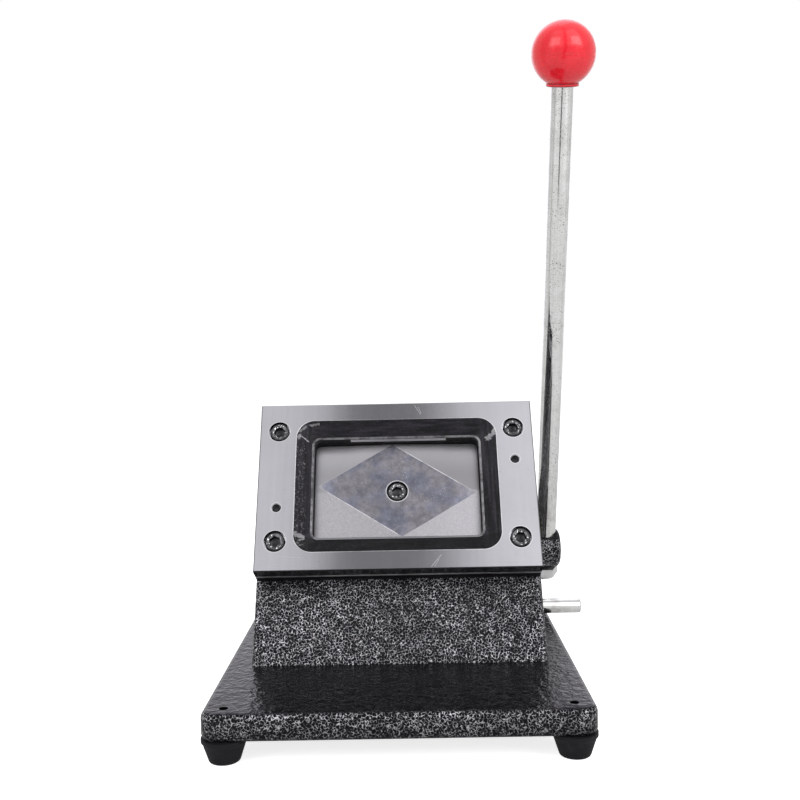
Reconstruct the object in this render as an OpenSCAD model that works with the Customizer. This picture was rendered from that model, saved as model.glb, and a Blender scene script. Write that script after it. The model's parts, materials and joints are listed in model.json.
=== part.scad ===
// Card die cutter for the desk. A punch and die set leans back on a cast body, and a side
// lever turns a spiral cam that drives the punch out through a sheet slot into the die.
// Front is -Y, right is +X, up is +Z. The rubber feet stand on Z = 0 around the origin.

/* [Base] */
// How far the base stands out past each side of the body
base_side = 12.5; // [8:0.5:24]
// How far the base stands out behind the body
base_rear = 6.5; // [4:0.5:20]
// Thickness of the base plate
base_t = 12; // [10:0.5:16]
// Corner radius of the base plate, seen from above
base_corner_r = 7; // [4:0.5:10]
// Rounding along the edges of the base plate
base_edge_r = 2.5; // [1:0.25:3.5]

/* [Feet] */
// Height of a rubber foot
foot_h = 10.5; // [8:0.5:14]
// Diameter of a foot where it meets the base
foot_top_d = 20; // [17:0.5:22]
// Diameter of a foot near the floor
foot_end_d = 14; // [13:0.5:17]
// From the side edge of the base to the middle of a foot
foot_inset_x = 9.5; // [9:0.5:14]
// From the front or rear edge of the base to the middle of a foot, whose rim may stand out
foot_inset_y = 8.5; // [8:0.5:18]
// Diameter of a foot screw
foot_screw_d = 4; // [3:0.5:5]

/* [Die face] */
// Angle by which the die face leans back from upright
lean = 30; // [28:0.5:32]
// Width of the die set plates past each side of the window
border_x = 28; // [26:0.5:32]
// Height of the die set plates above and below the window
border_y = 18.5; // [17:0.5:22]
// Thickness of the die plate in front
die_t = 8.5; // [8:0.5:11]
// Thickness of the gap that a card sheet slides into
slot_t = 1.5; // [1:0.25:2]
// How far the strips beside the sheet gap stay outside the window
slot_side = 3.5; // [2:0.5:6]
// Thickness of the plate that guides the punch
guide_t = 6; // [5:0.5:8]
// Thickness of the bright shim behind the guide plate
shim_t = 1; // [0.8:0.1:1.5]
// Edge chamfer of the die set plates
plate_chamfer = 0.5; // [0.3:0.1:0.8]
// Width of the thumb notch in the top of the guide plate
notch_w = 50; // [40:1:70]
// Depth of the thumb notch
notch_h = 13; // [8:0.5:15]

/* [Card window] */
// Width of the cut card
card_w = 86; // [84:0.5:87]
// Height of the cut card
card_h = 54; // [52:0.5:55]
// Corner radius of the cut card
card_r = 3.2; // [2.5:0.1:4]
// Width of the sloped border round the window
bevel_w = 7.8; // [6:0.1:8.5]
// Depth of the sloped border
bevel_depth = 4.5; // [3:0.1:5]
// Corner radius at the outer edge of the sloped border
bevel_r = 9.5; // [7:0.5:12]
// Width of the narrow worn lip inside the border
lip_w = 1.2; // [0.8:0.1:1.6]
// Depth that the lip drops
lip_depth = 0.4; // [0.2:0.1:0.6]

/* [Punch] */
// Thickness of the punch block
punch_t = 24; // [22:0.5:28]
// How far the resting punch face stays behind the sheet gap
punch_sink = 1.5; // [0.5:0.25:2.5]
// How far the ground corners of the punch face drop
corner_drop = 1.2; // [0.6:0.1:2]
// How far the side tips of the punch face's diamond stay inside its edges
diamond_inset_x = 2; // [0.4:0.1:3]
// How far its upper and lower tips stay inside the edges
diamond_inset_y = 1.2; // [1:0.1:3]
// How far the diamond stands above the middle of the punch face
diamond_rise = 0.9; // [0:0.1:1]
// How far the upper tip lies left of the middle, and the lower tip right of it
diamond_slant = 2.3; // [0:0.1:4]
// How far the left tip lies above the diamond's middle, and the right tip below it
diamond_twist = 2.4; // [0:0.1:4]
// How far the punch travels
travel = 10; // [8:0.5:11]

/* [Die screws] */
// Diameter of the die screws
screw_d = 6; // [5:0.5:6.5]
// Diameter of a screw head
head_d = 10; // [9:0.25:10.5]
// Height of a screw head
head_h = 6; // [5:0.25:6.5]
// Gap round a head in its counterbore
head_gap = 0.55; // [0.3:0.05:0.8]
// From the middle of a die screw to the side edge of the plates
screw_edge_x = 10; // [9:0.5:11]
// From the middle of a die screw to the top or bottom edge of the plates
screw_edge_y = 15.5; // [10:0.5:18]
// Diameter of the two locating dowels
dowel_d = 4; // [3:0.5:5]
// Height of the dowels above and below the middle
dowel_y = 12.2; // [8:0.2:16]

/* [Body] */
// How far the cast body stands out past each side of the plates
body_side = 1; // [0.5:0.25:3]
// From the front edge of the base to the foot of the body
body_setback = 65; // [55:1:68]
// Painted face below the die set, measured up the slope
sill_h = 42; // [40:0.5:46]
// How far the top of the body stays below the top of the plates
top_drop = 3.5; // [2:0.5:5]
// Side wall of the casting
side_wall = 9; // [7:0.5:11]
// Front, top and rear wall of the casting
wall = 8; // [7:0.5:9]
// Rounding along the edges of the casting
body_edge_r = 2.5; // [1:0.25:3]
// How far the centre of the rounded rear lies in front of the shaft
rear_lead = 4; // [2:0.5:8]
// Room between the cam and the rear wall
rear_room = 1.5; // [1:0.5:4]
// Thickness of the web that holds the guide bush
web_t = 15; // [13:0.5:17]

/* [Lever and shaft] */
// From the front of the die plate back to the shaft, along the punch axis
shaft_back = 136; // [134:0.5:138]
// Height of the shaft above the punch axis, square to it
shaft_rise = 10; // [8:0.5:11]
// Diameter of the cam shaft
shaft_d = 16; // [14:0.5:17]
// Angle by which the resting lever leans forward
lever_lean = 18.5; // [10:0.5:25]
// How far below level the lever ends its stroke, as an angle
low_dip = 4.5; // [0:0.5:5]
// From the side of the body to the middle of the lever rod
lever_out = 20; // [19:0.5:23]
// Diameter of the lever rod
rod_d = 12; // [11:0.5:13]
// From the shaft to the middle of the ball
lever_len = 297; // [260:1:320]
// Diameter of the ball knob
ball_d = 34; // [30:1:38]
// Diameter of the lever hub
hub_d = 24; // [23:0.5:27]
// From the rod's middle to the outer face of the hub
hub_out = 11.5; // [9:0.5:14]
// Rounding of the outer hub edge
hub_edge_r = 4; // [2:0.5:5]
// Diameter of the stop pin
stop_d = 8; // [7:0.5:9]
// How far in front of the shaft the stop pin stands
stop_reach = 80; // [75:1:84]
// How far the stop pin stands out of the body
stop_out = 28; // [27:0.5:34]

/* [Cam and ram] */
// Radius of the cam where the resting roller sits
cam_base_r = 12; // [11.5:0.25:12.5]
// Thickness of the cam and the roller
cam_t = 14; // [12:0.5:16]
// Diameter of the cam roller
roller_d = 16; // [15:0.5:17]
// Diameter of the roller pin
roller_pin_d = 6; // [5:0.5:7]
// Thickness of each fork cheek
cheek_t = 7; // [6:0.5:9]
// Diameter of the ram shank
shank_d = 32; // [30:0.5:34]
// How far the flange behind the punch stays inside the punch's outline
flange_inset = 3.5; // [2:0.5:6]
// Thickness of the flange behind the punch
flange_t = 10; // [8:0.5:11]
// Diameter of the spring seat on the fork
seat_d = 44; // [42:0.5:45]
// Wire diameter of the return spring
wire_d = 3.5; // [2.5:0.25:3.75]
// Turns of the return spring
spring_turns = 4.5; // [3.5:0.5:4.5]

/* [Fits] */
// Running clearance, on the radius
run_gap = 0.05; // [0.03:0.01:0.08]
// Gap between pieces that seat on each other
seat_gap = 0.3; // [0.2:0.05:0.4]
// Gap round a pressed or screwed-in piece, on the radius
press_gap = 0.02; // [0.01:0.01:0.04]

/* [Hidden] */
$fn = 64;
eps = 0.01;
black_paint = "#3b3c40";
rubber_black = "#1c1c1e";
ground_steel = "#b9b8bb";
plain_steel = "#9a9b9e";
black_steel = "#2b2b2d";
bright_plate = "#c9c9c6";
bronze = "#b08748";
knob_red = "#d01524";

plate_w = card_w + 2 * border_x;
plate_h = card_h + 2 * border_y;
body_w = plate_w + 2 * body_side;
base_w = body_w + 2 * base_side;
base_top = foot_h + base_t;
stack_t = die_t + slot_t + guide_t + shim_t;
half_plate = plate_h / 2;
slot_w = card_w + 2 * slot_side;
screw_span_x = plate_w - 2 * screw_edge_x;
screw_span_y = plate_h - 2 * screw_edge_y;
face_up = sill_h + half_plate;
side_x = body_w / 2;
inner_x = side_x - side_wall;
lever_x = side_x + lever_out;

// Places along the punch axis, counted back from the front of the die plate
guide_s = die_t + slot_t;
punch_rest = guide_s + punch_sink;
punch_back_s = punch_rest + punch_t;
flange_back_s = punch_back_s + flange_t;
stop_flange_s = flange_back_s + seat_gap;
stop_flange_t = 6;
web_s = stop_flange_s + stop_flange_t;
web_back_s = web_s + web_t;
roller_r = roller_d / 2;
pitch_rest = cam_base_r + roller_r;
roller_s = shaft_back - pitch_rest;
fork_room = 1.5;
fork_slot_s = roller_s - roller_r - fork_room;
seat_t = 10;
seat_s = fork_slot_s - seat_t;
cheek_wall = 6;
cheek_r = roller_pin_d / 2 + cheek_wall;
fork_side_gap = 0.4;
fork_slot_w = cam_t + 2 * fork_side_gap;
fork_w = fork_slot_w + 2 * cheek_t;

swing = 90 - lever_lean + low_dip;

// The roller's centre follows this spiral, whose radius grows evenly as the lever swings.
// Angles are those at which cam metal lies at rest, counted from up the die face, and the
// roller waits at 90 degrees.
cam_gap = 0.2;
lift_rate = travel / (swing * PI / 180);
cam_nose = 8;
cam_step = 4;

function pitch_r(b) = pitch_rest + travel * (90 - b) / swing;
function pitch_point(b) = pitch_r(b) * [cos(b), sin(b)];
function flank_normal(b) =
  let (t = -lift_rate * [cos(b), sin(b)] + pitch_r(b) * [-sin(b), cos(b)])
    [-t[1], t[0]] / norm(t);
function flank_point(b) = pitch_point(b) + (roller_r + cam_gap) * flank_normal(b);

flank = [for (i = [0:cam_step:swing]) flank_point(90 - swing + i)];
seat_turn = atan2(lift_rate, pitch_rest);
seat_arc = [for (i = [1:4])
  let (a = -90 + seat_turn * (1 - i / 5))
    pitch_rest * [0, 1] + (roller_r + cam_gap) * [cos(a), sin(a)]];
heel_r = cam_base_r - cam_gap;
tip_r = norm(flank[0]);
tip_a = atan2(flank[0][1], flank[0][0]);
fall_a = 60;
nose = [for (i = [cam_nose:-cam_step:cam_step]) tip_r * [cos(tip_a - i), sin(tip_a - i)]];
fall = [for (i = [0:10])
  let (t = i / 10, a = tip_a - cam_nose - fall_a + fall_a * t * 0.95)
    (heel_r + (tip_r - heel_r) * (1 - cos(180 * t)) / 2) * [cos(a), sin(a)]];
heel_start = tip_a - cam_nose - fall_a;
heel = [for (a = [90:10:350 + heel_start]) heel_r * [cos(a), sin(a)]];
cam_outline = concat(flank, seat_arc, heel, fall, nose);

// The rounded rear clears the cam by its room
rear_r = max([for (p = cam_outline) norm(p - [0, rear_lead])]) + rear_room + wall;

// Depth of the body from its front foot to its rear, and so the depth of the base
face_to_shaft = shaft_back * cos(lean) + shaft_rise * sin(lean);
foot_to_face = face_up * sin(lean) - stack_t * cos(lean);
body_len = foot_to_face + face_to_shaft - rear_lead * cos(lean) + rear_r;
base_d = body_setback + body_len + base_rear;

// Places of the body's foot, the die face, the shaft and the middle of the rounded rear
sill_y = body_setback - base_d / 2;
face_y = sill_y + foot_to_face;
face_z = base_top + face_up * cos(lean) + stack_t * sin(lean);
shaft_y = face_y + face_to_shaft;
shaft_z = face_z - shaft_back * sin(lean) + shaft_rise * cos(lean);
rear_y = shaft_y - rear_lead * cos(lean);
rear_z = shaft_z + rear_lead * sin(lean);
body_back_y = rear_y + rear_r;
top_corner_r = 7;
foot_corner_r = 3;

// The stop pin waits just under the lever's lowest place
stop_y = shaft_y - stop_reach;
stop_z = shaft_z - stop_reach * tan(low_dip) - (rod_d / 2 + stop_d / 2 + seat_gap) / cos(low_dip);

bush_wall = 3;
bush_flange_t = 2.5;
bush_flange_w = 4;
bush_flange_r = shaft_d / 2 + bush_wall + bush_flange_w;
bush_boss_w = 5;
bush_boss_r = shaft_d / 2 + bush_wall + bush_boss_w;
bush_boss_t = 7;
guide_flange_w = 7;
collar_t = 10;
hub_in_x = side_x + bush_flange_t + seat_gap;
hub_out_x = lever_x + hub_out;
shaft_end_x = lever_x - rod_d / 2 - 0.5;
thread_r = rod_d / 2 - 1;
spot_depth = hub_d / 2 - 1.5;
washer_t = 2;
nut_h = 9.5;
nut_w = 16;

bolt_d = 8;
bolt_head_d = 13;
bolt_head_h = 8;
bolt_key = 6;
bolt_sink = 1.5;
bolt_recess = bolt_head_h + bolt_sink;
post_h = 13;
post_r = 9;
post_cap = 1.5;
bolt_hole_h = post_h - post_cap;
bolt_end_gap = 1;
bolt_top = base_top + bolt_hole_h - bolt_end_gap;
bolt_x = inner_x - post_r + 1;
bolt_front_lead = 26;
bolt_rear_lead = 30;
bolt_front_y = sill_y + bolt_front_lead;
bolt_rear_y = shaft_y - bolt_rear_lead;

// The die screws and dowels go into bosses on the front wall
screw_bite = 9;
screw_boss_t = 12;
screw_boss_w = 4.5;
screw_end_gap = 1.7;
die_screw_len = stack_t + wall + screw_bite - screw_end_gap - seat_gap - head_h;
dowel_bite = 6;
dowel_sink = 3;
dowel_end_gap = 1;
dowel_chamfer = 0.5;
hole_gap = 0.3;
key_w = 5;

// The ram's fasteners
flange_w = card_w - 2 * flange_inset;
flange_h = card_h - 2 * flange_inset;
flange_r = 4;
ram_screw_d = 5;
ram_screw_edge = 8;
ram_screw_x = flange_w / 2 - ram_screw_edge;
ram_screw_y = flange_h / 2 - ram_screw_edge;
ram_screw_bite = 8;
ram_key_w = 4;
ram_dowel_d = 5;
ram_dowel_x = 16;
ram_dowel_bite = 6.5;
blind_gap = 0.5;
punch_screw_bite = 8;
fork_screw_bite = 12;

// The cross pins of the cam and the hub
cross_pin_r = 2;
hub_pin_x = (hub_in_x + shaft_end_x) / 2;

// Frames of reference

module on_face() {
  translate([0, face_y, face_z])
    rotate([90 - lean, 0, 0])
      children();
}

module on_shaft_axis() {
  on_face()
    translate([0, shaft_rise, 0])
      children();
}

module at_shaft() {
  translate([0, shaft_y, shaft_z])
    children();
}

module on_lever() {
  translate([lever_x, shaft_y, shaft_z])
    rotate([lever_lean, 0, 0])
      children();
}

// Puts a flat outline in the plane square to X and gives it a width there
module across(x0, x1) {
  translate([x0, 0, 0])
    rotate([90, 0, 90])
      linear_extrude(x1 - x0)
        children();
}

// Runs a cylinder along X
module bar_x(x0, x1, r) {
  translate([x0, 0, 0])
    rotate([0, 90, 0])
      cylinder(h = x1 - x0, r = r);
}

// Runs a cylinder back along the punch axis, between two depths
module bar_s(s0, s1, r) {
  translate([0, 0, -s1])
    cylinder(h = s1 - s0, r = r);
}

// Shared shapes

module card_outline(w, h, r) {
  square([w - 2 * r, h], center = true);
  square([w, h - 2 * r], center = true);
  for (x = [-1, 1], y = [-1, 1])
    translate([x * (w / 2 - r), y * (h / 2 - r)])
      circle(r);
}

module card_block(s0, s1, w, h, r) {
  translate([0, 0, -s1])
    linear_extrude(s1 - s0)
      card_outline(w, h, r);
}

// A plate of the die set, with its edges chamfered
module plate_blank(s0, s1, w, h) {
  c = plate_chamfer;
  translate([0, 0, -(s0 + s1) / 2])
    hull() {
      cube([w, h, s1 - s0 - 2 * c], center = true);
      cube([w - 2 * c, h - 2 * c, s1 - s0], center = true);
    }
}

// A disc along X whose rims are rounded by r_edge
module edge_roller(r, w, r_edge) {
  rotate([0, 90, 0])
    rotate_extrude($fn = 48)
      polygon(concat(
        [[0, w / 2], [0, -w / 2]],
        [for (a = [0:30:90]) [r - r_edge + r_edge * sin(a), -w / 2 + r_edge - r_edge * cos(a)]],
        [for (a = [90:30:180]) [r - r_edge + r_edge * sin(a), w / 2 - r_edge - r_edge * cos(a)]]));
}

// A cap screw that points back along the punch axis, with its head's top at depth s
module cap_screw(s, d, hd, hh, len, key) {
  difference() {
    union() {
      bar_s(s + 0.4, s + hh, hd / 2);
      translate([0, 0, -s - 0.4])
        cylinder(h = 0.4, r1 = hd / 2, r2 = hd / 2 - 0.4);
      bar_s(s + hh - eps, s + hh + len, d / 2);
    }
    translate([0, 0, -s - hh * 0.6])
      cylinder(h = hh, d = key / cos(30), $fn = 6);
  }
}

module four(dx, dy) {
  for (x = [-1, 1], y = [-1, 1])
    translate([x * dx / 2, y * dy / 2, 0])
      children();
}

// Base and feet

module at_feet() {
  for (x = [-1, 1], y = [-1, 1])
    translate([x * (base_w / 2 - foot_inset_x), y * (base_d / 2 - foot_inset_y), 0])
      children();
}

module at_casting_bolts() {
  for (x = [-1, 1], y = [bolt_front_y, bolt_rear_y])
    translate([x * bolt_x, y, 0])
      children();
}

module base_corner() {
  e = base_edge_r;
  rotate_extrude($fn = 48)
    polygon(concat(
      [[0, base_t], [0, 0]],
      [for (a = [0:30:90]) [base_corner_r - e + e * sin(a), e - e * cos(a)]],
      [for (a = [90:30:180]) [base_corner_r - e + e * sin(a), base_t - e - e * cos(a)]]));
}

module base_plate() {
  color(black_paint)
    difference() {
      translate([0, 0, foot_h])
        hull()
          for (x = [-1, 1], y = [-1, 1])
            translate([x * (base_w / 2 - base_corner_r), y * (base_d / 2 - base_corner_r), 0])
              base_corner();
      at_feet()
        translate([0, 0, foot_h - 1])
          cylinder(h = base_t + 2, d = foot_screw_d);
      at_casting_bolts() {
        translate([0, 0, foot_h - 1])
          cylinder(h = base_t + 2, d = bolt_d + 1);
        translate([0, 0, foot_h - 1])
          cylinder(h = bolt_recess + 1, d = bolt_head_d + 1.5);
      }
    }
}

// Height of the recess in a foot, over its screw head
foot_recess_h = foot_h * 0.45;

module foot() {
  r0 = foot_end_d / 2;
  r1 = foot_top_d / 2;
  round_r = 1.3;
  color(rubber_black)
    difference() {
      rotate_extrude()
        polygon(concat(
          [[0, foot_h], [0, 0]],
          [for (a = [0:15:75]) [r0 - round_r + round_r * sin(a), round_r - round_r * cos(a)]],
          [[r1 - 0.6, foot_h - 2.2], [r1, foot_h - 1.6], [r1, foot_h]]));
      translate([0, 0, -1])
        cylinder(h = foot_recess_h + 1, r = foot_screw_d + 0.8);
      cylinder(h = foot_h + 1, r = foot_screw_d / 2 + 0.2);
    }
}

module foot_at(x, y) {
  translate([x * (base_w / 2 - foot_inset_x), y * (base_d / 2 - foot_inset_y), 0])
    foot();
}

module foot_front_left() foot_at(-1, -1);
module foot_front_right() foot_at(1, -1);
module foot_rear_left() foot_at(-1, 1);
module foot_rear_right() foot_at(1, 1);

module foot_screws() {
  head = foot_screw_d * 0.6;
  color(plain_steel)
    at_feet()
      difference() {
        union() {
          translate([0, 0, foot_recess_h - head])
            cylinder(h = head, r = foot_screw_d);
          translate([0, 0, foot_recess_h - eps])
            cylinder(h = foot_h - foot_recess_h + base_t * 0.7, r = foot_screw_d / 2 - press_gap);
        }
        for (a = [0, 90])
          translate([0, 0, foot_recess_h - head])
            rotate([0, 0, a])
              cube([foot_screw_d, foot_screw_d * 0.22, head], center = true);
      }
}

// Cast body

// The outline of the body with its walls moved in by one distance, front and rear alike
module body_form(inset, w, r_edge) {
  face_s = stack_t + inset;
  corner_r = max(top_corner_r - inset, 1);
  toe_r = max(foot_corner_r - inset, 1);
  reach = 2 * body_edge_r + 12;
  hull() {
    on_face()
      translate([0, -face_up - reach, -face_s - max(toe_r, r_edge)])
        edge_roller(max(toe_r, r_edge), w, r_edge);
    on_face()
      translate([0, half_plate - top_drop - inset - max(corner_r, r_edge), -face_s - max(corner_r, r_edge)])
        edge_roller(max(corner_r, r_edge), w, r_edge);
    translate([0, rear_y, rear_z])
      rotate([90 - lean, 0, 0])
        edge_roller(rear_r - inset, w, r_edge);
    translate([0, body_back_y - inset - max(toe_r, r_edge), base_top - reach])
      edge_roller(max(toe_r, r_edge), w, r_edge);
  }
}

// Everything above the top of the base
module above_base() {
  translate([-base_w, -base_d, base_top])
    cube([2 * base_w, 2 * base_d, 2 * base_d]);
}

module body_casting() {
  color(black_paint)
    difference() {
      intersection() {
        union() {
          difference() {
            body_form(0, body_w, body_edge_r);
            body_form(wall, body_w - 2 * side_wall, 0.5);
          }
          // web with the guide bush
          intersection() {
            body_form(wall / 2, body_w - side_wall, 0.5);
            on_face()
              translate([-body_w / 2, -2 * face_up, -web_back_s])
                cube([body_w, 4 * face_up, web_t]);
          }
          // bosses behind the die screws
          on_face()
            four(screw_span_x, screw_span_y)
              bar_s(stack_t + wall / 2, stack_t + wall + screw_boss_t, screw_d / 2 + screw_boss_w);
          // bearing bosses inside the side walls
          at_shaft() {
            bar_x(inner_x - bush_boss_t, inner_x + eps, bush_boss_r);
            bar_x(-inner_x - eps, -inner_x + bush_boss_t, bush_boss_r);
          }
          // boss round the stop pin
          translate([0, stop_y, stop_z])
            bar_x(inner_x - 6, inner_x + eps, stop_d / 2 + 3.5);
          // posts over the bolts from below
          at_casting_bolts()
            translate([0, 0, base_top - 1])
              cylinder(h = post_h + 1, r = post_r);
        }
        above_base();
      }
      // way for the punch
      on_face()
        card_block(stack_t - 1, stack_t + wall + 14, card_w + 3, card_h + 3, card_r + 1.5);
      // holes for screws, dowels and bolts
      on_face() {
        four(screw_span_x, screw_span_y)
          bar_s(stack_t - 1, stack_t + wall + screw_bite, screw_d / 2);
        dowel_places()
          bar_s(stack_t - 1, stack_t + dowel_bite, dowel_d / 2);
      }
      at_casting_bolts()
        translate([0, 0, base_top - 1])
          cylinder(h = bolt_hole_h + 1, r = bolt_d / 2);
      // bores of the shaft, the ram and the stop pin
      at_shaft()
        bar_x(-body_w, body_w, shaft_d / 2 + bush_wall);
      on_shaft_axis()
        bar_s(web_s - 1, web_back_s + 1, shank_d / 2 + bush_wall);
      translate([0, stop_y, stop_z])
        bar_x(inner_x - 4, body_w, stop_d / 2);
    }
}

module casting_bolts() {
  color(black_steel)
    at_casting_bolts()
      translate([0, 0, foot_h + bolt_recess])
        difference() {
          union() {
            translate([0, 0, -bolt_head_h])
              cylinder(h = bolt_head_h, d = bolt_head_d);
            translate([0, 0, -1])
              cylinder(h = bolt_top - foot_h - bolt_recess + 1, r = bolt_d / 2 - press_gap);
          }
          translate([0, 0, -bolt_head_h - 1])
            cylinder(h = bolt_head_h * 0.6 + 1, d = bolt_key / cos(30), $fn = 6);
        }
}

// Die set

module dowel_places() {
  for (side = [-1, 1])
    translate([side * screw_span_x / 2, side * dowel_y, 0])
      children();
}

module plate_holes(s0, s1) {
  four(screw_span_x, screw_span_y)
    bar_s(s0 - 1, s1 + 1, screw_d / 2 + hole_gap);
  dowel_places()
    bar_s(s0 - 1, s1 + 1, dowel_d / 2);
}

module backing_shim() {
  inset = 2;
  color(bright_plate)
    on_face()
      difference() {
        translate([0, 0, -stack_t])
          linear_extrude(shim_t)
            square([plate_w - inset, plate_h - inset], center = true);
        card_block(guide_s, stack_t + 1, card_w + 2, card_h + 2, card_r + 1);
        plate_holes(stack_t - shim_t, stack_t);
      }
}

module guide_plate() {
  color(plain_steel)
    on_face()
      difference() {
        plate_blank(guide_s, guide_s + guide_t, plate_w, plate_h);
        card_block(guide_s - 1, stack_t, card_w + 2 * run_gap, card_h + 2 * run_gap, card_r + run_gap);
        plate_holes(guide_s, guide_s + guide_t);
        // thumb notch in the top edge
        translate([0, half_plate + 5, 0])
          card_block(guide_s - 1, stack_t, notch_w, 2 * notch_h + 10, 6);
      }
}

module slot_spacers() {
  strip_w = (plate_w - slot_w) / 2;
  color(bright_plate)
    on_face()
      difference() {
        for (side = [-1, 1])
          translate([side * (slot_w + strip_w) / 2, 0, -guide_s + slot_t / 2])
            cube([strip_w, plate_h, slot_t], center = true);
        plate_holes(die_t, guide_s);
      }
}

// The sloped border of the window, narrowing from the front face to the lip
module bevel_cutter() {
  lip_total_w = card_w + 2 * lip_w;
  lip_total_h = card_h + 2 * lip_w;
  hull() {
    linear_extrude(1)
      card_outline(lip_total_w + 2 * bevel_w, lip_total_h + 2 * bevel_w, bevel_r, $fn = 48);
    translate([0, 0, -bevel_depth])
      linear_extrude(eps)
        card_outline(lip_total_w, lip_total_h, card_r + lip_w, $fn = 48);
  }
  hull() {
    translate([0, 0, -bevel_depth])
      linear_extrude(0.1)
        card_outline(lip_total_w, lip_total_h, card_r + lip_w, $fn = 48);
    translate([0, 0, -bevel_depth - lip_depth])
      linear_extrude(eps)
        card_outline(card_w, card_h, card_r, $fn = 48);
  }
}

module die_plate() {
  color(ground_steel)
    on_face()
      difference() {
        plate_blank(0, die_t, plate_w, plate_h);
        bevel_cutter();
        card_block(-1, die_t + 1, card_w + 2 * run_gap, card_h + 2 * run_gap, card_r + run_gap);
        plate_holes(0, die_t);
        four(screw_span_x, screw_span_y)
          bar_s(-1, seat_gap + head_h, head_d / 2 + head_gap);
        dowel_places()
          translate([0, 0, -dowel_chamfer])
            cylinder(h = 2 * dowel_chamfer, r1 = dowel_d / 2, r2 = dowel_d / 2 + 2 * dowel_chamfer);
      }
}

module die_screws() {
  color(black_steel)
    on_face()
      four(screw_span_x, screw_span_y)
        cap_screw(seat_gap, screw_d - 2 * press_gap, head_d, head_h, die_screw_len, key_w);
}

module dowel_pins() {
  color(plain_steel)
    on_face()
      dowel_places()
        bar_s(dowel_sink, stack_t + dowel_bite - dowel_end_gap, dowel_d / 2 - press_gap);
}

// Bushes, stop pin and spring

module shaft_bush(side) {
  r = shaft_d / 2;
  color(bronze)
    at_shaft()
      mirror([side < 0 ? 1 : 0, 0, 0])
        difference() {
          union() {
            bar_x(inner_x - bush_boss_t, side_x + eps, r + bush_wall - press_gap);
            bar_x(side_x, side_x + bush_flange_t, bush_flange_r);
          }
          bar_x(0, body_w, r + run_gap);
        }
}

module shaft_bush_left() shaft_bush(-1);
module shaft_bush_right() shaft_bush(1);

module guide_bush() {
  r = shank_d / 2;
  color(bronze)
    on_shaft_axis()
      difference() {
        union() {
          bar_s(stop_flange_s, web_s, r + guide_flange_w);
          bar_s(web_s - 1, web_back_s, r + bush_wall - press_gap);
        }
        bar_s(0, shaft_back, r + run_gap);
      }
}

module stop_pin() {
  r = stop_d / 2;
  tip = 1.4;
  color(bright_plate)
    translate([0, stop_y, stop_z]) {
      bar_x(inner_x - 4, side_x, r - press_gap);
      translate([side_x - eps, 0, 0])
        rotate([0, 90, 0])
          rotate_extrude()
            polygon(concat(
              [[0, stop_out], [0, 0], [r, 0]],
              [for (a = [0:15:90]) [r - tip + tip * cos(a), stop_out - tip + tip * sin(a)]]));
    }
}

// The spring's wire is one tube swept along its helix
spring_s0 = web_back_s + seat_gap;
spring_s1 = seat_s - seat_gap;
spring_r = shank_d / 2 + wire_d / 2 + 1.2;
spring_steps = 12;
wire_sides = 6;
spring_rings = floor(spring_turns * spring_steps);
spring_rise = spring_s1 - spring_s0 - wire_d;
spring_least_gap = min([for (i = [0:spring_steps])
  let (j = i + spring_steps)
    norm(spring_point(j) - spring_point(i)) - wire_d]);
echo("least gap between turns of the return spring", spring_least_gap);

function spring_point(i) =
  let (t = i / spring_rings, a = 360 * spring_turns * t)
    [spring_r * cos(a), spring_r * sin(a), -spring_s0 - wire_d / 2 - spring_rise * t];

function spring_ring(i) =
  let (a = 360 * spring_turns * i / spring_rings, p = spring_point(i))
    [for (k = [0:wire_sides - 1])
      let (b = 360 * k / wire_sides, out = wire_d / 2 * cos(b), up = wire_d / 2 * sin(b))
        [p[0] + out * cos(a), p[1] + out * sin(a), p[2] + up]];

module return_spring() {
  n = wire_sides;
  m = spring_rings;
  points = [for (i = [0:m]) each spring_ring(i)];
  walls = [for (i = [0:m - 1], k = [0:n - 1])
    let (a = i * n + k, b = i * n + (k + 1) % n, c = a + n, d = b + n)
      each [[a, b, d], [a, d, c]]];
  first = [[for (k = [n - 1:-1:0]) k]];
  last = [[for (k = [0:n - 1]) m * n + k]];
  color(plain_steel)
    on_shaft_axis()
      polyhedron(points, concat(first, walls, last));
}

// Punch and ram

// Tips of the diamond on the punch face, clockwise from the top
diamond_half_w = card_w / 2 - diamond_inset_x;
diamond_half_h = card_h / 2 - diamond_inset_y;
diamond_tips = [
  [-diamond_slant, diamond_rise + diamond_half_h],
  [diamond_half_w, diamond_rise - diamond_twist],
  [diamond_slant, diamond_rise - diamond_half_h],
  [-diamond_half_w, diamond_rise + diamond_twist]];
card_corners = [for (c = [[1, 1], [1, -1], [-1, -1], [-1, 1]]) [c[0] * card_w / 2, c[1] * card_h / 2]];
cut_h = 10;

// One flat cut that lowers a corner of the punch face, hinged on an edge of the diamond
module corner_cut(i) {
  tip = diamond_tips[i];
  edge = diamond_tips[(i + 1) % 4] - tip;
  corner_reach = ([-edge[1], edge[0]] / norm(edge)) * (card_corners[i] - tip);
  translate([tip[0], tip[1], -punch_rest])
    rotate([0, 0, atan2(edge[1], edge[0])])
      rotate([-atan(corner_drop / corner_reach), 0, 0])
        translate([-card_w, 0, 0])
          cube([3 * card_w, card_w, cut_h]);
}

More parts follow.
